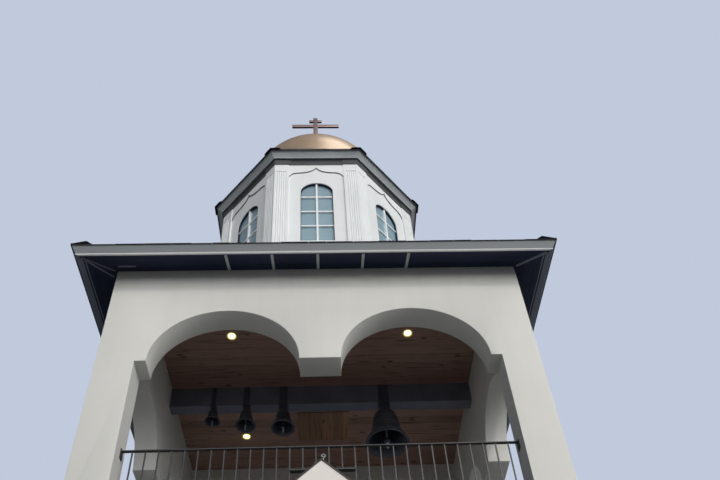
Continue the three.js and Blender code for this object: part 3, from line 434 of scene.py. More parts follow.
def add_slab(bm, outline, y0, y1, holes=(), material=0):
    """An outline in x and z, with holes, drawn out from y0 to y1. Gives its vertices."""
    flat, edges = [], []
    for loop in (outline, *holes):
        verts = [bm.verts.new((x, y0, z)) for x, z in loop]
        flat += verts
        edges += [bm.edges.new((a, b)) for a, b in zip(verts, verts[1:] + verts[:1])]
    filled = bmesh.ops.triangle_fill(bm, use_beauty=True, use_dissolve=False, edges=edges)
    faces = [g for g in filled["geom"] if isinstance(g, bmesh.types.BMFace)]
    drawn = bmesh.ops.extrude_face_region(bm, geom=faces)
    moved = [g for g in drawn["geom"] if isinstance(g, bmesh.types.BMVert)]
    bmesh.ops.translate(bm, verts=moved, vec=(0, y1 - y0, 0))
    for face in {f for v in flat + moved for f in v.link_faces}:
        face.material_index = material
    return flat + moved


def add_turned(bm, profile, segments, centre=(0, 0), start=0.0):
    """A profile of (radius, height) pairs turned round a vertical axis. Gives its vertices."""
    rings = []
    for radius, height in profile:
        steps = segments if radius > 1e-6 else 1
        around = arc(centre, radius, start, start + 2 * math.pi, steps)[:-1]
        rings.append([bm.verts.new((x, y, height)) for x, y in around])
    for low, high in zip(rings, rings[1:]):
        for i in range(segments):
            j = (i + 1) % segments
            corners = [low[i % len(low)], low[j % len(low)], high[j % len(high)], high[i % len(high)]]
            unique = list(dict.fromkeys(corners))
            if len(unique) > 2:
                bm.faces.new(unique)
    return [v for ring in rings for v in ring]


def oblong(x0, z0, x1, z1):
    return [(x0, z0), (x1, z0), (x1, z1), (x0, z1)]


def add_swept(bm, loops, material=0):
    """The faces between closed loops with as many points each, from every loop to the next."""
    for a, b in zip(loops, loops[1:]):
        for i in range(len(a)):
            j = (i + 1) % len(a)
            bm.faces.new((a[i], a[j], b[j], b[i])).material_index = material


def move(bm, verts, matrix):
    bmesh.ops.transform(bm, matrix=matrix, verts=verts)


def turn_z(degrees):
    return Matrix.Rotation(math.radians(degrees), 4, "Z")


def laid_down(place, degrees, axis):
    """Moves a piece made upright at the origin to its place, turned about an axis."""
    return Matrix.Translation(place) @ Matrix.Rotation(math.radians(degrees), 4, axis)


def add_bolt(bm, radius, place, degrees, axis):
    profile = [(0, 0), (radius, 0), (radius - 0.0005, radius - 0.002), (0, radius - 0.0015)]
    move(bm, add_turned(bm, profile, 6), laid_down(place, degrees, axis))


def round_edges(bm, width, segments=2, angle=35, keep=lambda edge: True):
    chosen = [e for e in bm.edges
              if len(e.link_faces) == 2 and e.calc_face_angle() > math.radians(angle) and keep(e)]
    bmesh.ops.bevel(bm, geom=chosen, offset=width, offset_type="OFFSET", segments=segments, profile=0.5,
                    affect="EDGES", clamp_overlap=True)


def finish_faces(bm, material, chosen):
    """Gives the faces that a test chooses another of the piece's finishes."""
    bmesh.ops.recalc_face_normals(bm, faces=bm.faces)
    for face in bm.faces:
        if chosen(face):
            face.material_index = material


def arc(centre, radius, start, end, steps):
    """Points on a round arc, from one angle to the other."""
    angles = [start + (end - start) * i / steps for i in range(steps + 1)]
    return [(centre[0] + radius * math.cos(a), centre[1] + radius * math.sin(a)) for a in angles]


def arch_points(half, bottom, spring, steps=32):
    """A doorway outline with a half-round head, counted from the lower left corner."""
    return [(-half, bottom), (half, bottom), *arc((0, spring), half, 0, math.pi, steps)]


print("helpers ready")

# %% [markdown]
# The tower is a rectangle of stucco walls. The lower walls keep the frame's own slabs, which are already
# the right shape, and take the stucco. The belfry walls have curved arches, so they are drawn again with
# smoother curves, and with the slightly rounded corners that a plasterer leaves.

# %% Tower walls
HALF_WIDTH, HALF_DEPTH, WALL = 2.115, 1.805, 0.25
BELFRY_FLOOR, SPRING, WALL_TOP = 4.85, 6.92, 8.365
PIER, CORBEL, PENDANT, ARCH_STEPS, PLASTER_EDGE, NEARLY = 0.365, 0.107, 0.2, 48, 0.006, 0.01
# Each side of the tower: half its width, its distance from the middle, and its turn from the front.
SIDES = {"front": (HALF_WIDTH, HALF_DEPTH, 0), "back": (HALF_WIDTH, HALF_DEPTH, 180),
         "left": (HALF_DEPTH, HALF_WIDTH, -90), "right": (HALF_DEPTH, HALF_WIDTH, 90)}
CORNERS = ((-1, -1), (1, -1), (1, 1), (-1, 1))


def dress(made, *nodes):
    """Gives its finish to nodes that keep their own shape."""
    for node in nodes:
        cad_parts[node].data.materials.clear()
        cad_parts[node].data.materials.append(made["material"])


dress(STUCCO, "front_wall_left", "front_wall_right", "front_wall_over_door", "back_wall", "left_wall",
      "right_wall")
dress(GABLE, "porch_left_wall", "porch_right_wall")
dress(CONCRETE, "ground_floor", "porch_floor")
dress(SHINGLE, "lantern_roof", "porch_roof")
dress(EDGE_METAL, "porch_drip_edge")
dress(FASCIA_GREY, "porch_ring")


def arcade(half, leg, radius):
    """A wall with two legs and two half-round arches, which meet over a pendant in the middle."""
    arches = [arc((side * (PENDANT + radius), SPRING), radius, math.pi, 0, ARCH_STEPS) for side in (-1, 1)]
    return [(-half, BELFRY_FLOOR), (-half + leg, BELFRY_FLOOR), (-half + leg, SPRING), *arches[0], *arches[1],
            (half - leg, SPRING), (half - leg, BELFRY_FLOOR), (half, BELFRY_FLOOR), (half, WALL_TOP),
            (-half, WALL_TOP)]


for name, (across, reach, turn) in SIDES.items():
    butted = WALL if across == HALF_DEPTH else 0
    half, arch = across - butted, across - PIER - CORBEL - PENDANT
    bm = bmesh.new()
    add_slab(bm, arcade(half, PIER - butted, arch / 2), -reach, -reach + WALL)

    def rounded(edge):
        ends = [v.co for v in edge.verts]
        inside = all(abs(v.x) < half - NEARLY and BELFRY_FLOOR + NEARLY < v.z < WALL_TOP - NEARLY
                     for v in ends)
        corner = not butted and all(abs(abs(v.x) - half) < 1e-4 and v.y < -reach + NEARLY for v in ends)
        return inside or corner

    round_edges(bm, PLASTER_EDGE, 2, 30, rounded)
    move(bm, bm.verts, turn_z(turn))
    make_piece("belfry_" + name + "_stucco", bm, STUCCO, "stucco", "belfry_" + name)
    print(name, "arches:", round(arch, 3), "m wide")

# %% [markdown]
# The belfry floor is a slab that runs out to the face of the walls. Its top is trowelled concrete and its
# edge is covered by the stucco, so it is two finishes on one box, chosen face by face.

# %% Belfry floor
bm = bmesh.new()
low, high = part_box("belfry_floor")
add_box(bm, low, high)
finish_faces(bm, 1, lambda face: abs(face.calc_center_median().z - high[2]) < 0.001)
make_piece("belfry_floor_slab", bm, [STUCCO, CONCRETE], "concrete", "belfry_floor")

# %% [markdown]
# The ceiling is made of stained boards with eased edges, each a real board with a fine gap to the next.
# They run from left to right. The hatch is a panel of the same boards turned the other way, in the rear
# half.

# %% Ceiling boards
random.seed(7)
low, high = (Vector(v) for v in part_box("belfry_ceiling"))
wide, deep = high.x - low.x, high.y - low.y
GAP, BUTT_GAP, BOARD_DEEP, HATCH_BOARDS = 0.003, 0.001, 0.018, 5
bm = bmesh.new()
rows = round(deep / BOARD)
for row in range(rows):
    y0, y1 = low.y + deep * row / rows, low.y + deep * (row + 1) / rows - GAP
    joint = low.x + wide * random.uniform(0.25, 0.75)
    for x0, x1 in ((low.x, joint - BUTT_GAP), (joint + BUTT_GAP, high.x)):
        add_box(bm, (x0, y0, WALL_TOP), (x1, y1, WALL_TOP + BOARD_DEEP))
round_edges(bm, 0.003, 1)
make_piece("ceiling_boards", bm, CEILING, "ceiling_boards", "belfry_ceiling", smooth=False)
bm = bmesh.new()
add_box(bm, (low.x, low.y, WALL_TOP + BOARD_DEEP + BUTT_GAP), high)
make_piece("ceiling_joist_deck", bm, NAVY_AND_PAINTED_SHADE, "ceiling_boards", "belfry_ceiling", smooth=False)

low, high = (Vector(v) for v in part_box("ceiling_hatch"))
wide = high.x - low.x
bm = bmesh.new()
for column in range(HATCH_BOARDS):
    x0 = low.x + wide * column / HATCH_BOARDS
    add_box(bm, (x0, low.y, low.z), (x0 + wide / HATCH_BOARDS - GAP, high.y, high.z))
round_edges(bm, 0.002, 1)
make_piece("hatch_panel", bm, HATCH_WOOD, "ceiling_boards", "ceiling_hatch", smooth=False)
print("ceiling rows:", rows)

# %% [markdown]
# Four lamps shine from the ceiling. Each has a rim that opens like a cone round a slightly domed lens, and
# the far side of the cone is what shows as a yellow crescent from below. The rim's faint glow is painted
# light.

# %% Ceiling lamps
LAMP_X, LAMP_Y, CONE, PANE, CONE_DEPTH = 1.03, 0.87, 0.056, 0.041, 0.009
RIM_PROFILE = ((CONE, 0), (CONE, CONE_DEPTH - 0.001), (CONE - 0.001, CONE_DEPTH), (CONE - 0.002, CONE_DEPTH),
               (PANE, 0.001), (PANE, 0), (CONE, 0))
LENS_PROFILE = ((0, 0.003), (PANE * 0.6, 0.0025), (PANE - 0.0003, 0.0012), (PANE - 0.0003, 0), (0, 0))
for name, profile, made in (("lamp_rims", RIM_PROFILE, BRASS_RIM_PAINTED_GLOW), ("lamp_lenses", LENS_PROFILE, LAMP)):
    bm = bmesh.new()
    for sx, sy in CORNERS:
        add_turned(bm, [(r, WALL_TOP - drop) for r, drop in profile], 32, (sx * LAMP_X, sy * LAMP_Y))
    make_piece(name, bm, made, "ceiling_boards")

# %% [markdown]
# Each belfry opening has a railing of thin square bars between two flat rails, fixed to the piers by small
# plates with two bolts each. In the front one the four middle bars end on a short low rail.

# %% Railings
RAIL_TOP, RAIL_LOW, RAIL_THICK, RAIL_WIDE, BAR_STEP, BAR = 5.925, 4.95, 0.012, 0.03, 0.114, 0.0115
SHORT_RAIL, SHORT_HALF, SHORT_THICK, SHORT_WIDE = 5.657, 0.285, 0.014, 0.044
PLATE_THICK, PLATE_WIDE, PLATE_LOW, PLATE_HIGH = 0.008, 0.06, RAIL_TOP - 0.092, RAIL_TOP + 0.012
SET_IN, BAR_IN_RAIL, BOLT_ASIDE, BOLT_HEIGHTS = 0.153, 0.002, 0.02, (RAIL_TOP - 0.075, RAIL_TOP - 0.035)

for name, (across, reach, turn) in SIDES.items():
    half, y, has_short_rail = across - PIER, -reach + SET_IN, name == "front"
    bm = bmesh.new()

    def bar(x0, x1, z0, z1, wide):
        add_box(bm, (x0, y - wide / 2, z0), (x1, y + wide / 2, z1))

    bar(-half, half, RAIL_TOP - RAIL_THICK, RAIL_TOP, RAIL_WIDE)
    bar(-half, half, RAIL_LOW, RAIL_LOW + RAIL_THICK, RAIL_WIDE)
    if has_short_rail:
        bar(-SHORT_HALF, SHORT_HALF, SHORT_RAIL - SHORT_THICK, SHORT_RAIL, SHORT_WIDE)
    for side in (-1, 1):
        bar(*sorted((side * half, side * (half - PLATE_THICK))), PLATE_LOW, PLATE_HIGH, PLATE_WIDE)
        for z in BOLT_HEIGHTS:
            add_bolt(bm, 0.007, (side * (half - PLATE_THICK), y - BOLT_ASIDE, z), -90 * side, "Y")
    count = int((2 * half - BAR) / BAR_STEP / 2) * 2
    for i in range(count):
        x = (i - (count - 1) / 2) * BAR_STEP
        foot = SHORT_RAIL if has_short_rail and abs(x) < SHORT_HALF - 0.001 else RAIL_LOW + RAIL_THICK
        bar(x - BAR / 2, x + BAR / 2, foot - BAR_IN_RAIL, RAIL_TOP - RAIL_THICK + BAR_IN_RAIL, BAR)
    round_edges(bm, 0.0015, 1, 60)
    move(bm, bm.verts, turn_z(turn))
    make_piece("railing_" + name + "_bars", bm, IRON, "iron", "railing_" + name)
    print("railing", name, "bars:", count)

# %% [markdown]
# The bells hang from one rectangular steel tube under the ceiling. Its long edges are rounded.

# %% Bell beam
BEAM_LOW, BEAM_HIGH = (Vector(v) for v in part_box("bell_beam"))
bm = bmesh.new()
add_box(bm, BEAM_LOW, BEAM_HIGH)
round_edges(bm, 0.009, 3, 60, lambda e: abs(e.verts[0].co.x - e.verts[1].co.x) > 1)
make_piece("bell_beam_steel", bm, STEEL, "dark_steel", "bell_beam")

# %% [markdown]
# A bell's wall is thick at the lip, where the clapper strikes, and thin at the waist. Raised bands ring the
# shoulder and the lip. Its shape is given in parts of its radius at the mouth, from the crown down the
# inside and up the outside. A block on its crown meets a plate under the beam, and the plate turns up into
# a flat strap that runs over the face of the beam to the ceiling, with two bolts.

# %% Bells
# Each bell: its place from left to right, the height of its mouth, its radius and the width of its strap.
BELLS = {"1": (-1.332, 7.819, 0.096, 0.050), "2": (-0.928, 7.744, 0.124, 0.076),
         "3": (-0.476, 7.692, 0.146, 0.100), "4": (0.766, 7.406, 0.262, 0.127)}
CROWN = 1.78
BELL_SHAPE = (
    (0.0, CROWN), (0.24, 1.778), (0.36, 1.71), (0.43, 1.6), (0.48, 1.45), (0.51, 1.25), (0.54, 1.05),
    (0.58, 0.85), (0.62, 0.66), (0.675, 0.48), (0.74, 0.32), (0.8, 0.17), (0.85, 0.07), (0.9, 0.0),
    (1.0, 0.0), (1.0, 0.03), (0.985, 0.07), (0.955, 0.13), (0.93, 0.18), (0.94, 0.195), (0.92, 0.21),
    (0.88, 0.265), (0.83, 0.34), (0.785, 0.44), (0.745, 0.55), (0.71, 0.66), (0.685, 0.78), (0.66, 0.9),
    (0.67, 0.915), (0.65, 0.93), (0.63, 1.05), (0.605, 1.2), (0.585, 1.34), (0.595, 1.355), (0.575, 1.37),
    (0.565, 1.47), (0.54, 1.6), (0.5, 1.72), (0.44, 1.81), (0.37, 1.865), (0.28, 1.9), (0.2, 1.918),
    (0.0, 1.92))
PIVOT_RISE, CROWN_SEAT, HANGER_THICK, BLOCK_HALF, PLATE_OVER, PLATE_BACK = 1.16, 1.86, 0.01, 0.02, 0.012, 0.06
LUG_NEAR, LUG_FAR, LUG_HALF, LUG_IN, PIN_RADIUS, PIN_HALF = 0.007, 0.013, 0.011, 0.005, 0.006, 0.008
STRAP_BOLTS, STRAP_BELOW = (0.07, 0.2), 0.01
under, face_y = BEAM_LOW.z, BEAM_LOW.y - HANGER_THICK

for key, (x, mouth, radius, strap) in BELLS.items():
    pivot, half = mouth + PIVOT_RISE * radius, strap / 2
    cast, hung = bmesh.new(), bmesh.new()
    add_turned(cast, [(r * radius, mouth + z * radius) for r, z in BELL_SHAPE], 64, (x, 0))
    for side in (-1, 1):
        near, far = sorted((side * LUG_NEAR, side * LUG_FAR))
        add_box(cast, (x + near, -LUG_HALF, pivot - LUG_HALF),
                (x + far, LUG_HALF, mouth + CROWN * radius + LUG_IN))
    pin = add_turned(cast, oblong(0, -PIN_HALF, PIN_RADIUS, PIN_HALF), 20)
    move(cast, pin, laid_down((x, 0, pivot), 90, "Y"))
    plate = under - HANGER_THICK
    add_box(hung, (x - half, -BLOCK_HALF, mouth + CROWN_SEAT * radius), (x + half, BLOCK_HALF, plate + 0.001))
    add_box(hung, (x - half - PLATE_OVER, face_y, plate), (x + half + PLATE_OVER, PLATE_BACK, under))
    add_box(hung, (x - half, face_y, under), (x + half, BEAM_LOW.y, WALL_TOP - STRAP_BELOW))
    round_edges(hung, 0.002, 2, 60)
    for rise in STRAP_BOLTS:
        add_bolt(hung, 0.008, (x, face_y, under + rise), 90, "X")
    make_piece("bell_" + key + "_hanger", hung, BRONZE, "bronze", "bell_" + key)
    make_piece("bell_" + key + "_cast", cast, BRONZE, "bronze", "bell_" + key, edge_angle=50)
print("bells:", len(BELLS))

# %% [markdown]
# A clapper is a forged rod with an eye at the top, a ball that strikes the lip, and a tail for the rope. It
# swings on the pin inside its bell, so it rides on a body of its own. The rod is bright, the ball and eye
# dark.

# %% Clappers
EYE = ((0.0069, -0.006), (0.0105, -0.006), (0.013, -0.004), (0.013, 0.004), (0.0105, 0.006), (0.0069, 0.006),
       (0.0069, -0.006))
ROD, ROD_LEAST, STRIKER, STRIKER_SEAT, STRIKER_STEPS, TAIL, ROUND = 0.05, 0.004, 0.17, 0.8, 14, 0.07, 28
NECK_BELOW, EYE_BELOW, NECK_THIN = 0.017, 0.0089, 0.005

for key, (x, mouth, radius, _) in BELLS.items():
    pivot, rod, ball = mouth + PIVOT_RISE * radius, max(ROD_LEAST, ROD * radius), STRIKER * radius
    bm = bmesh.new()
    move(bm, add_turned(bm, EYE, ROUND), laid_down((x, 0, pivot), 90, "Y"))
    tail = mouth - TAIL
    ball_arc = arc((0, mouth + STRIKER_SEAT * ball), ball, -math.pi / 2, math.pi / 2, STRIKER_STEPS)[1:-1]
    add_turned(bm, [(0, tail), (rod * 0.8, tail), (rod, tail + 0.006),
                    *((max(rod, r), z) for r, z in ball_arc), (rod * 0.8, pivot - 0.04),
                    (NECK_THIN, pivot - NECK_BELOW), (NECK_THIN, pivot - EYE_BELOW),
                    (0, pivot - EYE_BELOW)], ROUND, (x, 0))

    def off_rod(face):
        middle = face.calc_center_median()
        return math.hypot(middle.x - x, middle.y) > rod * 1.4

    finish_faces(bm, 1, off_rod)
    make_piece("clapper_" + key + "_forged", bm, [FORGED, BRONZE], "clapper_iron", "clapper_" + key,
               body="clapper_" + key, edge_angle=50)

# %% [markdown]
# The eave hangs out all round the tower. Its underside is dark boards that fall with the roof from the wall
# to the fascia. Pale strips cross them under the rafter ends in the middle of a side, and slate ones run
# under the hips. The left and right sides also have a slate trim along the fascia and a thin line inside
# it. The dark slate of these strips is painted shade, for strips that get less light than the pale ones.

# %% Eave soffit
PITCH_OF_ROOF, SOFFIT_AT_WALL, BOARD_THICK, SOFFIT_ROWS = 0.5, 8.32, 0.02, 3
FASCIA_FOOT, FASCIA_FACE, FASCIA_THICK = 0.317, 0.084, 0.024
SLOPE = math.hypot(1, PITCH_OF_ROOF)
FASCIA_BACK = FASCIA_FOOT - FASCIA_THICK / SLOPE
SEAT, SOFFIT_GAP = 0.0003, 0.002
LOOKOUTS, LOOKOUT_STEP, LOOKOUT_WIDE, LOOKOUT_END = 5, 0.47, 0.028, FASCIA_BACK - 0.012
LOOKOUT_START, LOOKOUT_DROP = 0.002, 0.011
HIP_WIDE, HIP_THIN, HIP_FROM, HIP_TO, SIDE_TRIM, SIDE_LINE = 0.028, 0.014, 0.02, 0.27, 0.023, 0.011
QUARTERS = [SIDES[name] for name in ("front", "right", "back", "left")]


def soffit_z(out):
    return SOFFIT_AT_WALL - out * PITCH_OF_ROOF


def square_ring(bm, profile, material=0):
    """A closed profile of (distance out from the wall face, height), swept round the rectangle."""
    loops = [[bm.verts.new((sx * (HALF_WIDTH + out), sy * (HALF_DEPTH + out), z)) for sx, sy in CORNERS]
             for out, z in profile]
    add_swept(bm, loops + loops[:1], material)


def flat_strip(bm, start, end, width, drop=0.006):
    """A thin strip under the soffit between two points given as (x, y), wide across its run."""
    a, b = Vector((*start, 0)), Vector((*end, 0))
    across = Vector((a.y - b.y, b.x - a.x, 0)).normalized() * width / 2
    rings = []
    for point in (a, b):
        rings.append([])
        for at, lift in ((point - across, -drop), (point + across, -drop), (point + across, 0.004),
                         (point - across, 0.004)):
            out = max(abs(at.x) - HALF_WIDTH, abs(at.y) - HALF_DEPTH, 0)
            rings[-1].append(bm.verts.new((at.x, at.y, soffit_z(out) + lift)))
    add_swept(bm, rings)
    bm.faces.new(rings[0])
    bm.faces.new(rings[1])


bm = bmesh.new()
run = FASCIA_BACK - SEAT
for row in range(SOFFIT_ROWS):
    near, far = run * row / SOFFIT_ROWS + SEAT, run * (row + 1) / SOFFIT_ROWS - SOFFIT_GAP
    square_ring(bm, [(near, soffit_z(near)), (far, soffit_z(far)), (far, soffit_z(far) + BOARD_THICK),
                     (near, soffit_z(near) + BOARD_THICK)])
make_piece("soffit_boards", bm, NAVY_AND_PAINTED_SHADE, "soffit", "eave_soffit", smooth=False)

bm = bmesh.new()
for _, reach, turn in QUARTERS:
    for i in range(LOOKOUTS):
        along = (i - LOOKOUTS // 2) * LOOKOUT_STEP
        ends = [turn_z(turn) @ Vector((along, -reach - out, 0)) for out in (LOOKOUT_START, LOOKOUT_END)]
        flat_strip(bm, ends[0].xy, ends[1].xy, LOOKOUT_WIDE, LOOKOUT_DROP)
make_piece("soffit_lookouts", bm, PALE_GREY, "soffit", "eave_soffit", smooth=False)

# The left front corner has a second strip beside its hip and a short one along the wall.
bm = bmesh.new()
for sx, sy in CORNERS:
    ends = [(sx * (HALF_WIDTH + out), sy * (HALF_DEPTH + out)) for out in (HIP_FROM, HIP_TO)]
    flat_strip(bm, *ends, HIP_THIN if (sx, sy) == (-1, -1) else HIP_WIDE)
flat_strip(bm, (-HALF_WIDTH - 0.043, -HALF_DEPTH + 0.051), (-HALF_WIDTH - 0.244, -HALF_DEPTH - 0.222),
           HIP_THIN)
flat_strip(bm, (-2.08, -HALF_DEPTH - 0.1), (-1.898, -HALF_DEPTH - 0.1), LOOKOUT_WIDE, 0.004)
for side in (-1, 1):
    for out, width in ((FASCIA_BACK - SIDE_TRIM / 2 - 0.001, SIDE_TRIM), (FASCIA_BACK - 0.042, SIDE_LINE)):
        x, y = side * (HALF_WIDTH + out), HALF_DEPTH + out - 0.014
        flat_strip(bm, (x, -y), (x, y), width, 0.003)
# These strips take the slate: painted shade.
make_piece("soffit_strips", bm, PAINTED_SHADE_SLATE, "soffit", "eave_soffit", smooth=False)

# %% [markdown]
# The fascia is a grey board set square to the rafters, so it leans out, mitred at the four corners. Its
# face also covers the edge of the roof deck, so that only the ends of the shingles are dark. A thin white
# strip closes its foot. Both are closed profiles, swept round the rectangle. The left and right sides are
# slate: painted shade, for the sides that get less light than the front and back.

# %% Fascia
SHINGLE_OVER, SHINGLE_BED, DECK_BACK = 0.02, 0.022, 0.0045


def on_fascia(up_face, off_face):
    """A point by its distance up the face from the foot, and off the face outwards."""
    return (FASCIA_FOOT + (up_face * PITCH_OF_ROOF + off_face) / SLOPE,
            soffit_z(FASCIA_FOOT) + (up_face - off_face * PITCH_OF_ROOF) / SLOPE)


BOARD_HIGH = FASCIA_FACE + SHINGLE_BED - 0.001
ROOF_REACH = on_fascia(FASCIA_FACE, 0)[0] + SHINGLE_OVER
EDGE_Z = SOFFIT_AT_WALL + (FASCIA_FACE + SHINGLE_BED) * SLOPE - ROOF_REACH * PITCH_OF_ROOF
BOARD_PROFILE = ((0.004, -FASCIA_THICK), (0.004, 0), (BOARD_HIGH, 0), (BOARD_HIGH, -0.004),
                 (FASCIA_FACE, -DECK_BACK), (FASCIA_FACE, -FASCIA_THICK))
FOOT_PROFILE = ((0, -FASCIA_THICK), (0, 0.005), (0.011, 0.006), (0.013, 0.0), (0.0038, 0.0),
                (0.0038, -FASCIA_THICK))
bm = bmesh.new()
for material, profile in enumerate((BOARD_PROFILE, FOOT_PROFILE)):
    square_ring(bm, [on_fascia(*point) for point in profile], material)
round_edges(bm, 0.0015, 1, 60)
# The left and right faces take the slate: painted shade.
finish_faces(bm, 2, lambda face: abs(face.normal.x) > 0.3)
make_piece("fascia_boards", bm, [FASCIA_GREY, WHITE, PAINTED_SHADE_SLATE], "fascia", "eave_fascia", smooth=False)
print("fascia face:", round(BOARD_HIGH, 3), "m")

# %% [markdown]
# The roof deck closes the space under the shingles. It runs from the back of the fascia up under the foot
# of the lantern, and the shingles lie on it. One profile is swept round the rectangle, as for the boards.

# %% Roof deck
DECK_INNER = -0.9


def deck_z(out, depth):
    """The height of a plane parallel to the roof, a distance square below the shingles' bed."""
    return EDGE_Z + (ROOF_REACH - out) * PITCH_OF_ROOF - depth * SLOPE


bm = bmesh.new()
square_ring(bm, [on_fascia(FASCIA_FACE + SHINGLE_BED, -DECK_BACK), on_fascia(FASCIA_FACE + SEAT, -DECK_BACK),
                 (DECK_INNER, deck_z(DECK_INNER, SHINGLE_BED - SEAT)), (DECK_INNER, deck_z(DECK_INNER, 0))])
make_piece("roof_deck", bm, SHINGLE, "shingle", "main_roof_front", "main_roof_back", "main_roof_left",
           "main_roof_right", smooth=False)

# %% [markdown]
# Shingles lie in courses, each overlapping the one below. They are laminated: some tabs are thicker than
# their neighbours, which gives the roof its broken shadow lines and the dashes along the eave. Each tab is
# a thin wedge, placed on the slope of the roof and trimmed to the hips. Caps are folded over hips and
# ridges.

# %% Shingle courses
random.seed(21)
LAMINATES, TAB_GAP, TAB_LEAST, TAB_HEAD, TAB_POINT = (0.006, 0.010, 0.012), 0.004, 0.01, 0.002, 0.001
BED = 0.001
CAP_LAP, CAP_HEAD, CAP_RIM, CAP_FOLD, CAP_CREST = 0.025, 0.35, 0.004, 0.7, 0.02


def lay_courses(bm, place, run, exposure, tab, limits, lap=0.03):
    """place(s, d, lift) gives a point from the distance along the eave, the run up the slope, and a lift."""
    for row in range(math.ceil(run / exposure)):
        d0, d1 = row * exposure, min(run, (row + 1) * exposure + lap)
        (low0, high0), (low1, high1) = limits(d0), limits(d1)
        s = low0 - random.uniform(0.0, tab)
        while s < high0:
            width = tab * random.uniform(0.75, 1.25)
            foot = [max(low0, s), min(high0, s + width - TAB_GAP)]
            head = [max(low1, s), min(high1, s + width - TAB_GAP)]
            thick = random.choice(LAMINATES)
            s += width
            if foot[1] - foot[0] < TAB_LEAST:
                continue
            if head[1] <= head[0]:
                middle = min(max((foot[0] + foot[1]) / 2, low1), high1)
                head = [middle - TAB_POINT, middle + TAB_POINT]
            corners = ((foot[0], d0, thick), (foot[1], d0, thick), (head[1], d1, TAB_HEAD),
                       (head[0], d1, TAB_HEAD))
            under = [bm.verts.new(place(along, d, BED)) for along, d, _ in corners]
            over = [bm.verts.new(place(*corner)) for corner in corners]
            bm.faces.new(under[::-1])
            bm.faces.new(over)
            add_swept(bm, [under, over])


def cap_row(bm, start, end, wing, spacing, thick, width, bulge=0.0):
    """Folded caps on a hip or ridge. wing(d, side, w) is a point beside it. The first cap may bulge."""
    count = max(1, round((end - start) / spacing))
    for i in range(count):
        d0 = start + (end - start) * i / count
        d1 = min(end, d0 + (end - start) / count + CAP_LAP)
        swollen = bulge > 0 and i == 0
        rings = []
        for d, lift in ((d0, thick), (d1, thick * CAP_HEAD)):
            half = [(width, CAP_RIM if swollen else lift),
                    (width * CAP_FOLD, bulge if swollen and d == d0 else lift), (CAP_CREST, lift)]
            top = [(-1, *p) for p in half] + [(1, 0.0, lift)] + [(1, *p) for p in reversed(half)]
            points = top + [(side, w, BED) for side, w, _ in reversed(top)]
            rings.append([bm.verts.new(wing(d, side, w) + Vector((0, 0, up))) for side, w, up in points])
        add_swept(bm, rings)
        for ring in rings:
            bm.faces.new([ring[j] for j in (0, 1, 2, 3, 10, 11, 12, 13)])
            bm.faces.new([ring[j] for j in (3, 4, 5, 6, 7, 8, 9, 10)])


print("courses ready")

# %% [markdown]
# The main roof has four slopes that meet at the hips. The courses stop inside the lantern's foot. The hips
# are closed with darker folded caps, thickest at the eave corners.

# %% Main roof shingles
FOOT_X, FOOT_Y, LANTERN_APOTHEM = HALF_WIDTH + ROOF_REACH, HALF_DEPTH + ROOF_REACH, 1.331
COURSES_OVER, BURIED_HALF, BURIED_CUT, HIP_RUN, HIP_BED = 0.35, 1.2, 1.75, 1.39, 0.009
bm = bmesh.new()
for span, reach, turn in QUARTERS:
    def on_slope(s, d, lift):
        return turn_z(turn) @ Vector((s, -reach - ROOF_REACH + d, EDGE_Z + d * PITCH_OF_ROOF + lift))

    def hip_limits(d):
        return -span - ROOF_REACH + d, span + ROOF_REACH - d

    lay_courses(bm, on_slope, reach + ROOF_REACH - LANTERN_APOTHEM + COURSES_OVER, exposure=0.14, tab=0.24,
                limits=hip_limits)
middles = ((face, face.calc_center_median()) for face in bm.faces)
buried = [face for face, at in middles
          if max(abs(at.x), abs(at.y)) < BURIED_HALF and abs(at.x) + abs(at.y) < BURIED_CUT]
bmesh.ops.delete(bm, geom=buried, context="FACES")
make_piece("roof_shingles", bm, SHINGLE, "shingle", smooth=False)

bm = bmesh.new()
for sx, sy in CORNERS:
    def hip_wing(d, side, w):
        x, y = FOOT_X - d - (w if side < 0 else 0), FOOT_Y - d - (w if side > 0 else 0)
        return Vector((sx * x, sy * y, EDGE_Z + d * PITCH_OF_ROOF + HIP_BED))

    cap_row(bm, 0.0, HIP_RUN, hip_wing, spacing=0.15, thick=0.02, width=0.21, bulge=0.058)
make_piece("hip_caps", bm, BLACK_CAPS_AND_PAINTED_SHADE, "shingle", smooth=False)

# %% [markdown]
# The lantern is an octagon of white painted boards. Its walls are mitred at the corners and an arched
# window is cut through each. One wall is drawn and turned seven times about the axis.

# %% Lantern walls
LANTERN_LOW, LANTERN_TOP, LANTERN_WALL, EIGHTH = 8.415, 11.48, 0.14, math.pi / 8
WINDOW_HALF, WINDOW_SILL, WINDOW_SPRING = 0.212, 9.575, 10.698
CORNER = LANTERN_APOTHEM * math.tan(EIGHTH)
MITRE = (LANTERN_APOTHEM - LANTERN_WALL) / LANTERN_APOTHEM


def on_each_face(draw, *meshes):
    """Draws a part of the front face eight times, and turns each to a face of its own."""
    for k in range(8):
        before = {v for bm in meshes for v in bm.verts}
        draw()
        for bm in meshes:
            move(bm, [v for v in bm.verts if v not in before], turn_z(45 * k))


def lantern_wall():
    for v in add_slab(bm, oblong(-CORNER, LANTERN_LOW, CORNER, LANTERN_TOP), -LANTERN_APOTHEM,
                      -LANTERN_APOTHEM + LANTERN_WALL,
                      [arch_points(WINDOW_HALF, WINDOW_SILL, WINDOW_SPRING)]):
        if abs(abs(v.co.x) - CORNER) < 1e-4 and v.co.y > -LANTERN_APOTHEM + NEARLY:
            v.co.x *= MITRE


bm = bmesh.new()
on_each_face(lantern_wall, bm)
make_piece("lantern_boards", bm, WHITE, "lantern_boards", "lantern_walls", edge_angle=20)

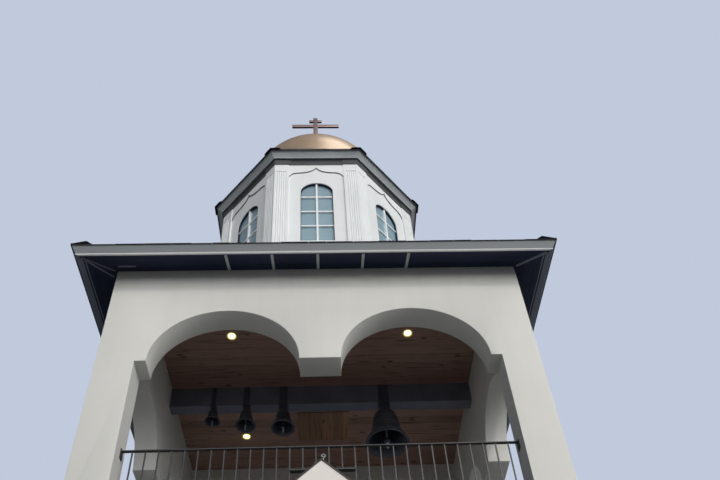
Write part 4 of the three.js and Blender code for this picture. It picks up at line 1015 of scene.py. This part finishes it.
# %% [markdown]
# Each corner of the lantern has a pilaster folded round it, with flutes that stop short of the capital.
# Boards cut to a low ogee sit over each window. The flutes are real grooves, because their lines of shade
# show from the ground. The undersides of the boards are near-black: painted shade, for the line of shade
# under each board. The frieze and the capitals are near-black too: painted shade, for the deep shade under
# the cornice.

# %% Lantern pilasters, ogee boards, capitals and frieze
FRIEZE_LOW, FRIEZE_OUT, FRIEZE_BEAD, TRIM_BACK = 11.346, 0.02, 0.034, 0.0006
PILASTER, PILASTER_OUT, PILASTER_FOOT, CAPITAL, CAPITAL_OUT = 0.182, 0.024, 8.3, 0.192, 0.034
FLUTES, FLUTE_START, FLUTE_STEP, FLUTE_TOP = 5, 0.415, 0.0285, 11.18
FLUTE = ((-0.009, 0.0), (-0.0055, 0.006), (0, 0.008), (0.0055, 0.006), (0.009, 0.0))
OGEE_SIDE, OGEE_OUT, OGEE_STEPS, BEAD_HIGH, BEAD_EDGE = CORNER - PILASTER, 0.014, 10, 0.03, 0.02
# Four curves, each from a point past one that draws it to the next. Widths are in parts of OGEE_SIDE.
OGEE = (((-1, 11.0), (-1, 11.158), (-0.62, 11.158)), ((-0.62, 11.158), (-0.12, 11.172), (0, 11.292)),
        ((0, 11.292), (0.12, 11.172), (0.62, 11.158)), ((0.62, 11.158), (1, 11.158), (1, 11.0)))


def over_corner(point):
    """The mirror image of a point of the front face, on the next face to its right."""
    axis = Vector((math.sin(EIGHTH), -math.cos(EIGHTH), 0))
    flat = Vector((point.x, point.y, 0))
    return 2 * flat.dot(axis) * axis - flat + Vector((0, 0, point.z))


def folded_strip(bm, near, far, z0, z1, inner_x, face=None):
    """A board on both sides of one corner of the octagon. Its face is given as (x, depth) from inner_x on."""
    face = [(x if x < CORNER else far * math.tan(EIGHTH), -far + depth)
            for x, depth in face or ((inner_x, 0.0), (CORNER, 0.0))]
    outline = [(inner_x, -near), *face, (near * math.tan(EIGHTH), -near)]
    for place in (Vector, lambda point: over_corner(Vector(point))):
        low, high = ([bm.verts.new(place((x, y, z))) for x, y in outline] for z in (z0, z1))
        bm.faces.new(low)
        bm.faces.new(high[::-1])
        for i in range(len(outline)):
            j = (i + 1) % len(outline)
            bm.faces.new((low[i], high[i], high[j], low[j]))


def octagon_ring(bm, profile):
    """A closed profile of (distance out, height), swept round the octagon."""
    closed = [(r * (1 / math.cos(EIGHTH)), z) for r, z in (*profile, profile[0])]
    add_turned(bm, closed, 8, start=EIGHTH)


near = LANTERN_APOTHEM + TRIM_BACK
flutes = [(FLUTE_START + FLUTE_STEP * i + x, depth) for i in range(FLUTES) for x, depth in FLUTE]
fluted = [(OGEE_SIDE, 0.0), *flutes, (CORNER, 0.0)]
ogee = []
for (x0, z0), (x1, z1), (x2, z2) in OGEE:
    for t in (i / OGEE_STEPS for i in range(OGEE_STEPS)):
        a, b, c = (1 - t) ** 2, 2 * t * (1 - t), t * t
        ogee.append(((a * x0 + b * x1 + c * x2) * OGEE_SIDE, a * z0 + b * z1 + c * z2))
ogee += [(OGEE_SIDE, OGEE[-1][-1][1]), (OGEE_SIDE, FRIEZE_LOW), (-OGEE_SIDE, FRIEZE_LOW)]
trim = bmesh.new()


def trim_boards():
    folded_strip(trim, near, near + PILASTER_OUT, PILASTER_FOOT, FLUTE_TOP, OGEE_SIDE, fluted)
    folded_strip(trim, near, near + PILASTER_OUT, FLUTE_TOP, FRIEZE_LOW, OGEE_SIDE)
    add_slab(trim, ogee, -near - OGEE_OUT, -near)


on_each_face(trim_boards, trim)
for v in trim.verts:
    if v.co.z < PILASTER_FOOT + NEARLY:
        v.co.z = EDGE_Z + PITCH_OF_ROOF * min(FOOT_X - abs(v.co.x), FOOT_Y - abs(v.co.y)) + 0.001
# Faces turned down take the near-black grey: painted shade.
finish_faces(trim, 1, lambda face: face.normal.z < -0.25 and face.calc_center_median().z > 10.5)
make_piece("lantern_trim_boards", trim, [WHITE, PAINTED_SHADE_GREY], "lantern_boards", "lantern_trim", edge_angle=25)

# The frieze and the capitals take the near-black grey: painted shade, for the shade under the cornice.
bm = bmesh.new()
out, bead = near + FRIEZE_OUT, near + FRIEZE_BEAD
octagon_ring(bm, oblong(near, FRIEZE_LOW, out, LANTERN_TOP))
octagon_ring(bm, [(out, LANTERN_TOP - BEAD_HIGH), (bead, LANTERN_TOP - BEAD_EDGE), (bead, LANTERN_TOP),
                  (out, LANTERN_TOP)])
on_each_face(lambda: folded_strip(bm, near, near + CAPITAL_OUT, FRIEZE_LOW, LANTERN_TOP - BEAD_EDGE,
                                  CORNER - CAPITAL), bm)
make_piece("lantern_frieze", bm, PAINTED_SHADE_GREY, "fascia", "lantern_trim", smooth=False)

# %% [markdown]
# A window is an arched frame with a bar up the middle and bars across, and panes behind the bars. The frame
# is thin and the panes sit back in it, so its head shows from below as a line over the glass. The frame is
# navy: painted shade, for the black line of shade under the head of the recess. One window is drawn and
# turned about the lantern. A dark lining closes the inside.

# %% Lantern windows
FRAME_FACE, FRAME_FRONT, GLASS_BACK, LINING = 0.007, -LANTERN_APOTHEM + 0.009, 0.03, 0.012
BARS, BAR_WIDE, LINING_BELOW = (9.925, 10.251, 10.592), 0.023, 0.05
FRAME_BEHIND, UPRIGHT_IN, UPRIGHT_BACK, CROSSBAR_IN, CROSSBAR_BACK = 0.027, 0.007, 0.012, 0.008, 0.011
BAR_LAP, PANE_LAP, PANE_THICK = 0.002, 0.003, 0.006


def arched_window(frames, panes, half, sill, spring, face, front, bars, wide, glass_back=0.018, finish=0):
    """An upright arched window with its frame's face at y = front and the glass set back from it."""
    glass, open_half, open_sill = front + glass_back, half - face, sill + face
    add_slab(frames, arch_points(half - SEAT, sill + SEAT, spring), front, glass + FRAME_BEHIND,
             [arch_points(open_half, open_sill, spring)], finish)
    add_box(frames, (-wide / 2, front + UPRIGHT_IN, open_sill - BAR_LAP),
            (wide / 2, glass + UPRIGHT_BACK, spring + open_half + BAR_LAP))
    for z in bars:
        reach = open_half + BAR_LAP
        if z > spring:
            reach = math.sqrt(max(0.0, reach * reach - (z - spring) ** 2))
        add_box(frames, (-reach, front + CROSSBAR_IN, z - wide / 2),
                (reach, glass + CROSSBAR_BACK, z + wide / 2))
    add_slab(panes, arch_points(open_half + PANE_LAP, open_sill - PANE_LAP, spring), glass,
             glass + PANE_THICK)


def lantern_window():
    arched_window(frames, panes, WINDOW_HALF, WINDOW_SILL, WINDOW_SPRING, FRAME_FACE, FRAME_FRONT, BARS,
                  BAR_WIDE, GLASS_BACK, 1)


frames, panes, bm = bmesh.new(), bmesh.new(), bmesh.new()
on_each_face(lantern_window, frames, panes)
# The lantern window frame takes the navy: painted shade.
make_piece("lantern_window_frames", frames, [WINDOW_WHITE, NAVY_AND_PAINTED_SHADE], "window", "lantern_windows", edge_angle=25)
make_piece("lantern_window_panes", panes, GLASS, "window", "lantern_windows", smooth=False)
back = LANTERN_APOTHEM - LANTERN_WALL - SEAT
octagon_ring(bm, oblong(back - LINING, LANTERN_LOW, back, WINDOW_SILL - LINING_BELOW))
make_piece("lantern_lining", bm, NAVY_AND_PAINTED_SHADE, "window", "lantern_windows", smooth=False)

# %% [markdown]
# The cornice is a grey board all round under the small roof. Like the fascia it is set square to the roof,
# which is steeper here, so it leans out more. The small roof has the same shingles and folded caps.

# %% Lantern cornice and roof shingles
CORNICE_SEAT, CORNICE_FOOT, CORNICE_LOW, CORNICE_RISE, CORNICE_BACK = 1.368, 1.388, 11.46, 0.07, 0.1
# The outer face of the board from its foot up, with a small drip edge.
CORNICE_FACE = ((0, 0), (0.003, 0.001), (0.009, 0.009), (0.009, 0.0115), (CORNICE_RISE, CORNICE_RISE))
inside, tip = LANTERN_APOTHEM - LANTERN_WALL, CORNICE_FOOT + CORNICE_RISE
cornice_top = CORNICE_LOW + CORNICE_RISE + CORNICE_BACK
bm = bmesh.new()
octagon_ring(bm, [(inside, LANTERN_TOP), (CORNICE_SEAT, LANTERN_TOP),
                  *((CORNICE_FOOT + x, CORNICE_LOW + z) for x, z in CORNICE_FACE),
                  (tip - CORNICE_BACK, cornice_top), (inside, cornice_top)])
make_piece("lantern_cornice_boards", bm, GREY, "fascia", "lantern_cornice", smooth=False)

random.seed(5)
LANTERN_ROOF_EDGE, LANTERN_ROOF_TOP, CAP_OVERHANG, CAP_BED = 1.472, 1.168, 0.022, 0.008
LANTERN_ROOF_RUN = LANTERN_ROOF_EDGE - LANTERN_ROOF_TOP
LANTERN_ROOF_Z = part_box("lantern_roof")[1][2] - LANTERN_ROOF_RUN


def on_octagon(s, d, lift):
    return turn_z(45 * k) @ Vector((s, -LANTERN_ROOF_EDGE + d, LANTERN_ROOF_Z + d + lift))


def octagon_limits(d):
    half = (LANTERN_ROOF_EDGE - d) * math.tan(EIGHTH)
    return -half, half


def octagon_wing(d, side, w):
    point = Vector((octagon_limits(d)[1] - w, -LANTERN_ROOF_EDGE + d, LANTERN_ROOF_Z + d + CAP_BED))
    return turn_z(45 * k) @ (over_corner(point) if side > 0 else point)


bm, caps = bmesh.new(), bmesh.new()
for k in range(8):
    lay_courses(bm, on_octagon, LANTERN_ROOF_RUN, exposure=0.09, tab=0.22, limits=octagon_limits, lap=0.028)
    cap_row(caps, -CAP_OVERHANG, LANTERN_ROOF_RUN, octagon_wing, spacing=0.15, thick=0.017, width=0.13,
            bulge=0.02)
make_piece("lantern_roof_shingles", bm, SHINGLE, "shingle", smooth=False)
make_piece("lantern_roof_caps", caps, BLACK_CAPS_AND_PAINTED_SHADE, "shingle", smooth=False)

# %% [markdown]
# The dome is most of a ball on a short drum. It is turned with enough steps to look round against the sky.
# Its sheet mirrors a bright patch of cloud that is high up on the right. A soft light stands for that
# patch. It is linked to the dome alone, because on the walls it would throw a second shade under the eaves.

# %% Dome
DOME_RADIUS, DOME_CENTRE, DOME_TOP_RADIUS, DRUM, SHEET = 1.15, 12.384, 0.08, 0.2, 0.03
DOME_STEPS, DOME_SIDES = 40, 96
CLOUD_STRENGTH, CLOUD_SIZE, CLOUD_COLOUR = 0.38, 24, (1.0, 0.97, 0.93)
CLOUD_AZIMUTH, CLOUD_ELEVATION = math.radians(41), math.radians(67)
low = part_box("dome")[0][2]
ball = arc((0, DOME_CENTRE), DOME_RADIUS, 0, math.acos(DOME_TOP_RADIUS / DOME_RADIUS), DOME_STEPS)
bm = bmesh.new()
add_turned(bm, [(DOME_RADIUS - SHEET, low), (DOME_RADIUS, low), (DOME_RADIUS, low + DRUM), *ball,
                (0, ball[-1][1])], DOME_SIDES)
dome = make_piece("dome_sheet", bm, COPPER, "copper", "dome", edge_angle=40)

lit_by_cloud = bpy.data.collections.new("lit by the cloud")
lit_by_cloud.objects.link(dome)
cloud = far_light("cloud", CLOUD_STRENGTH, CLOUD_SIZE, CLOUD_COLOUR, CLOUD_AZIMUTH, CLOUD_ELEVATION)
cloud.light_linking.receiver_collection = lit_by_cloud

# %% [markdown]
# The cross is folded from sheet: square bars with soft edges on a ball and a short neck. The lower bar
# slants. The undersides of the bars are almost black: painted shade, for the faces that turn down.

# %% Cross
BALL, BALL_Z, NECK, COLLAR, POST, DEEP, BAR_INSET = 0.105, 13.7, 0.038, 0.058, 0.0395, 0.018, 0.001
BALL_STEPS, BALL_SIDES = 24, 48
BALL_FOOT = ((0, 0), (0.076, 0), (0.076, 0.006), (0.05, 0.026), (NECK, 0.048))
# Each bar: half its length, its height, how much it rises to the left, and half its own thickness.
CROSS_BARS = ((0.428, 15.266, 0.0, 0.042), (0.115, 15.448, 0.0, 0.03), (0.25, 14.76, 0.42, 0.042))
(_, _, low), (_, _, high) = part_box("cross")
ball = arc((0, BALL_Z), BALL, -math.acos(NECK / BALL), math.acos(COLLAR / BALL), BALL_STEPS)
bm = bmesh.new()
add_turned(bm, [*((r, low + z) for r, z in BALL_FOOT), *ball, (0, ball[-1][1])], BALL_SIDES)
make_piece("cross_ball", bm, GILT, "gilding", "cross", edge_angle=50)
bm = bmesh.new()
add_slab(bm, oblong(-POST, BALL_Z, POST, high), -DEEP, DEEP)
for half, z, slant, bar in CROSS_BARS:
    left, right = z + half * slant, z - half * slant
    add_slab(bm, [(-half, left - bar), (half, right - bar), (half, right + bar), (-half, left + bar)],
             -DEEP + BAR_INSET, DEEP - BAR_INSET)
# Faces turned down take the black: painted shade.
finish_faces(bm, 1, lambda face: face.normal.z < -0.7)
round_edges(bm, 0.004, 2, 60)
make_piece("cross_bars", bm, [GILT, BLACK_CAPS_AND_PAINTED_SHADE], "gilding", "cross", edge_angle=50)

# %% [markdown]
# The porch has a cream gable with an arched opening. Its roof comes down close over the gable with a thin
# dark metal edge, so only a fine line of roof shows from below.

# %% Porch gable and roof
PORCH_FRONT, PORCH_PEAK, PORCH_HALF, PORCH_EDGE, PORCH_WALL = -2.96, 4.666, 1.05, 0.012, 0.18
PORCH_ROOF_HALF, PORCH_ARCH, PORCH_SPRING, ABOVE_ARCH = 1.15, 0.78, 2.45, 3.3
RIDGE_TRIM, RIDGE_START, RIDGE_BED = 0.01, 0.09, 0.004


def under_roof(x):
    return PORCH_PEAK - PORCH_EDGE - abs(x) - SEAT


arch = arch_points(PORCH_ARCH, 0.0, PORCH_SPRING, 40)[2:]
bm = bmesh.new()
add_slab(bm, [(-PORCH_HALF, 0), (-PORCH_ARCH, 0), *reversed(arch), (PORCH_ARCH, 0), (PORCH_HALF, 0),
              *((x, under_roof(x)) for x in (PORCH_HALF, 0, -PORCH_HALF))],
         PORCH_FRONT, PORCH_FRONT + PORCH_WALL)
round_edges(bm, 0.005, 2, 30, lambda e: all(abs(v.co.x) < PORCH_ARCH + NEARLY and NEARLY < v.co.z < ABOVE_ARCH
                                            for v in e.verts))
make_piece("porch_gable_stucco", bm, GABLE, "stucco", "porch_front_wall")

random.seed(11)
roof_front, roof_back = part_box("porch_roof")[0][1], -HALF_DEPTH
bm = bmesh.new()
for side in (-1, 1):
    def on_porch(s, d, lift):
        return Vector((side * (PORCH_ROOF_HALF - d), s, PORCH_PEAK - PORCH_ROOF_HALF + d + lift))

    lay_courses(bm, on_porch, PORCH_ROOF_HALF - RIDGE_TRIM, exposure=0.1, tab=0.24,
                limits=lambda d: (roof_front, roof_back), lap=0.02)
make_piece("porch_shingles", bm, SHINGLE, "shingle", smooth=False)


def ridge_wing(d, side, w):
    return Vector((side * w, roof_front + d, PORCH_PEAK - w + RIDGE_BED))


bm = bmesh.new()
cap_row(bm, RIDGE_START, roof_back - roof_front, ridge_wing, spacing=0.13, thick=0.01, width=0.12)
make_piece("porch_ridge_caps", bm, BLACK_CAPS_AND_PAINTED_SHADE, "shingle", smooth=False)

# %% [markdown]
# The entrance doors are two oak leaves with raised panels and round pull handles, under a fixed round
# head.

# %% Entrance doors
DOOR_HALF, DOOR_SPRING, DOOR_SILL, DOOR_FRAME, MEETING = 0.5997, 1.95, 0.15, 0.05, 0.0015
PANELS, PANEL_NEAR, PANEL_FAR = ((0.3, 0.85), (0.97, 1.4), (1.5, 1.86)), 0.09, DOOR_HALF - 0.13
KNOB = ((0.0, 0.0), (0.018, 0.0), (0.018, 0.004), (0.008, 0.008), (0.008, 0.02), (0.016, 0.028),
        (0.018, 0.036), (0.012, 0.044), (0.0, 0.046))
KNOB_X, KNOB_Z, KNOB_FLAT = 0.045, 1.18, Matrix.Scale(0.42, 4, (0, 0, 1))
LEAF_IN, LEAF_BACK, LEAF_CLEAR, LEAF_SILL, FRAME_IN, PANEL_IN, PANEL_LAP = (
    0.02, 0.004, 0.002, 0.014, 0.012, 0.004, 0.001)
low, high = (Vector(v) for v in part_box("entrance_doors"))
leaf_front, leaf_back, leaf_half = low.y + LEAF_IN, high.y - LEAF_BACK, DOOR_HALF - DOOR_FRAME - LEAF_CLEAR
leaves, fittings = bmesh.new(), bmesh.new()
add_slab(leaves, arch_points(DOOR_HALF, DOOR_SILL, DOOR_SPRING), low.y + FRAME_IN, high.y,
         [arch_points(DOOR_HALF - DOOR_FRAME, DOOR_SILL + FRAME_IN, DOOR_SPRING)])
for side in (-1, 1):
    near, far = sorted((side * MEETING, side * leaf_half))
    add_box(leaves, (near, leaf_front, DOOR_SILL + LEAF_SILL), (far, leaf_back, DOOR_SPRING))
    near, far = sorted((side * PANEL_NEAR, side * PANEL_FAR))
    for z0, z1 in PANELS:
        add_box(leaves, (near, low.y + PANEL_IN, z0), (far, leaf_front + PANEL_LAP, z1))
    knob = add_turned(fittings, KNOB, 24)
    move(fittings, knob, laid_down((side * KNOB_X, leaf_front, KNOB_Z), 90, "X") @ KNOB_FLAT)
add_slab(leaves, arch_points(leaf_half, 0, DOOR_SPRING)[2:], leaf_front, leaf_back)
round_edges(leaves, 0.003, 2, 60)
make_piece("door_leaves", leaves, DOOR, "door", "entrance_doors")
make_piece("door_handles", fittings, FORGED, "door", "entrance_doors", edge_angle=50)

# %% [markdown]
# The lower walls have one arched window on each side that has no door. They repeat the lantern's windows at
# a larger size.

# %% Lower windows
LOW_HALF, LOW_SILL, LOW_SPRING, LOW_FACE = 0.3, 1.9, 2.9, 0.04
LOW_BARS, LOW_BAR_WIDE, REVEAL = (2.25, 2.6, 2.93), 0.028, 0.07
for name in ("back", "left", "right"):
    _, reach, turn = SIDES[name]
    frames, panes = bmesh.new(), bmesh.new()
    arched_window(frames, panes, LOW_HALF, LOW_SILL, LOW_SPRING, LOW_FACE, -reach + REVEAL, LOW_BARS,
                  LOW_BAR_WIDE)
    for bm in (frames, panes):
        move(bm, bm.verts, turn_z(turn))
    make_piece(name + "_window_frame", frames, WHITE, "window", name + "_window", edge_angle=25)
    make_piece(name + "_window_panes", panes, GLASS, "window", name + "_window", smooth=False)
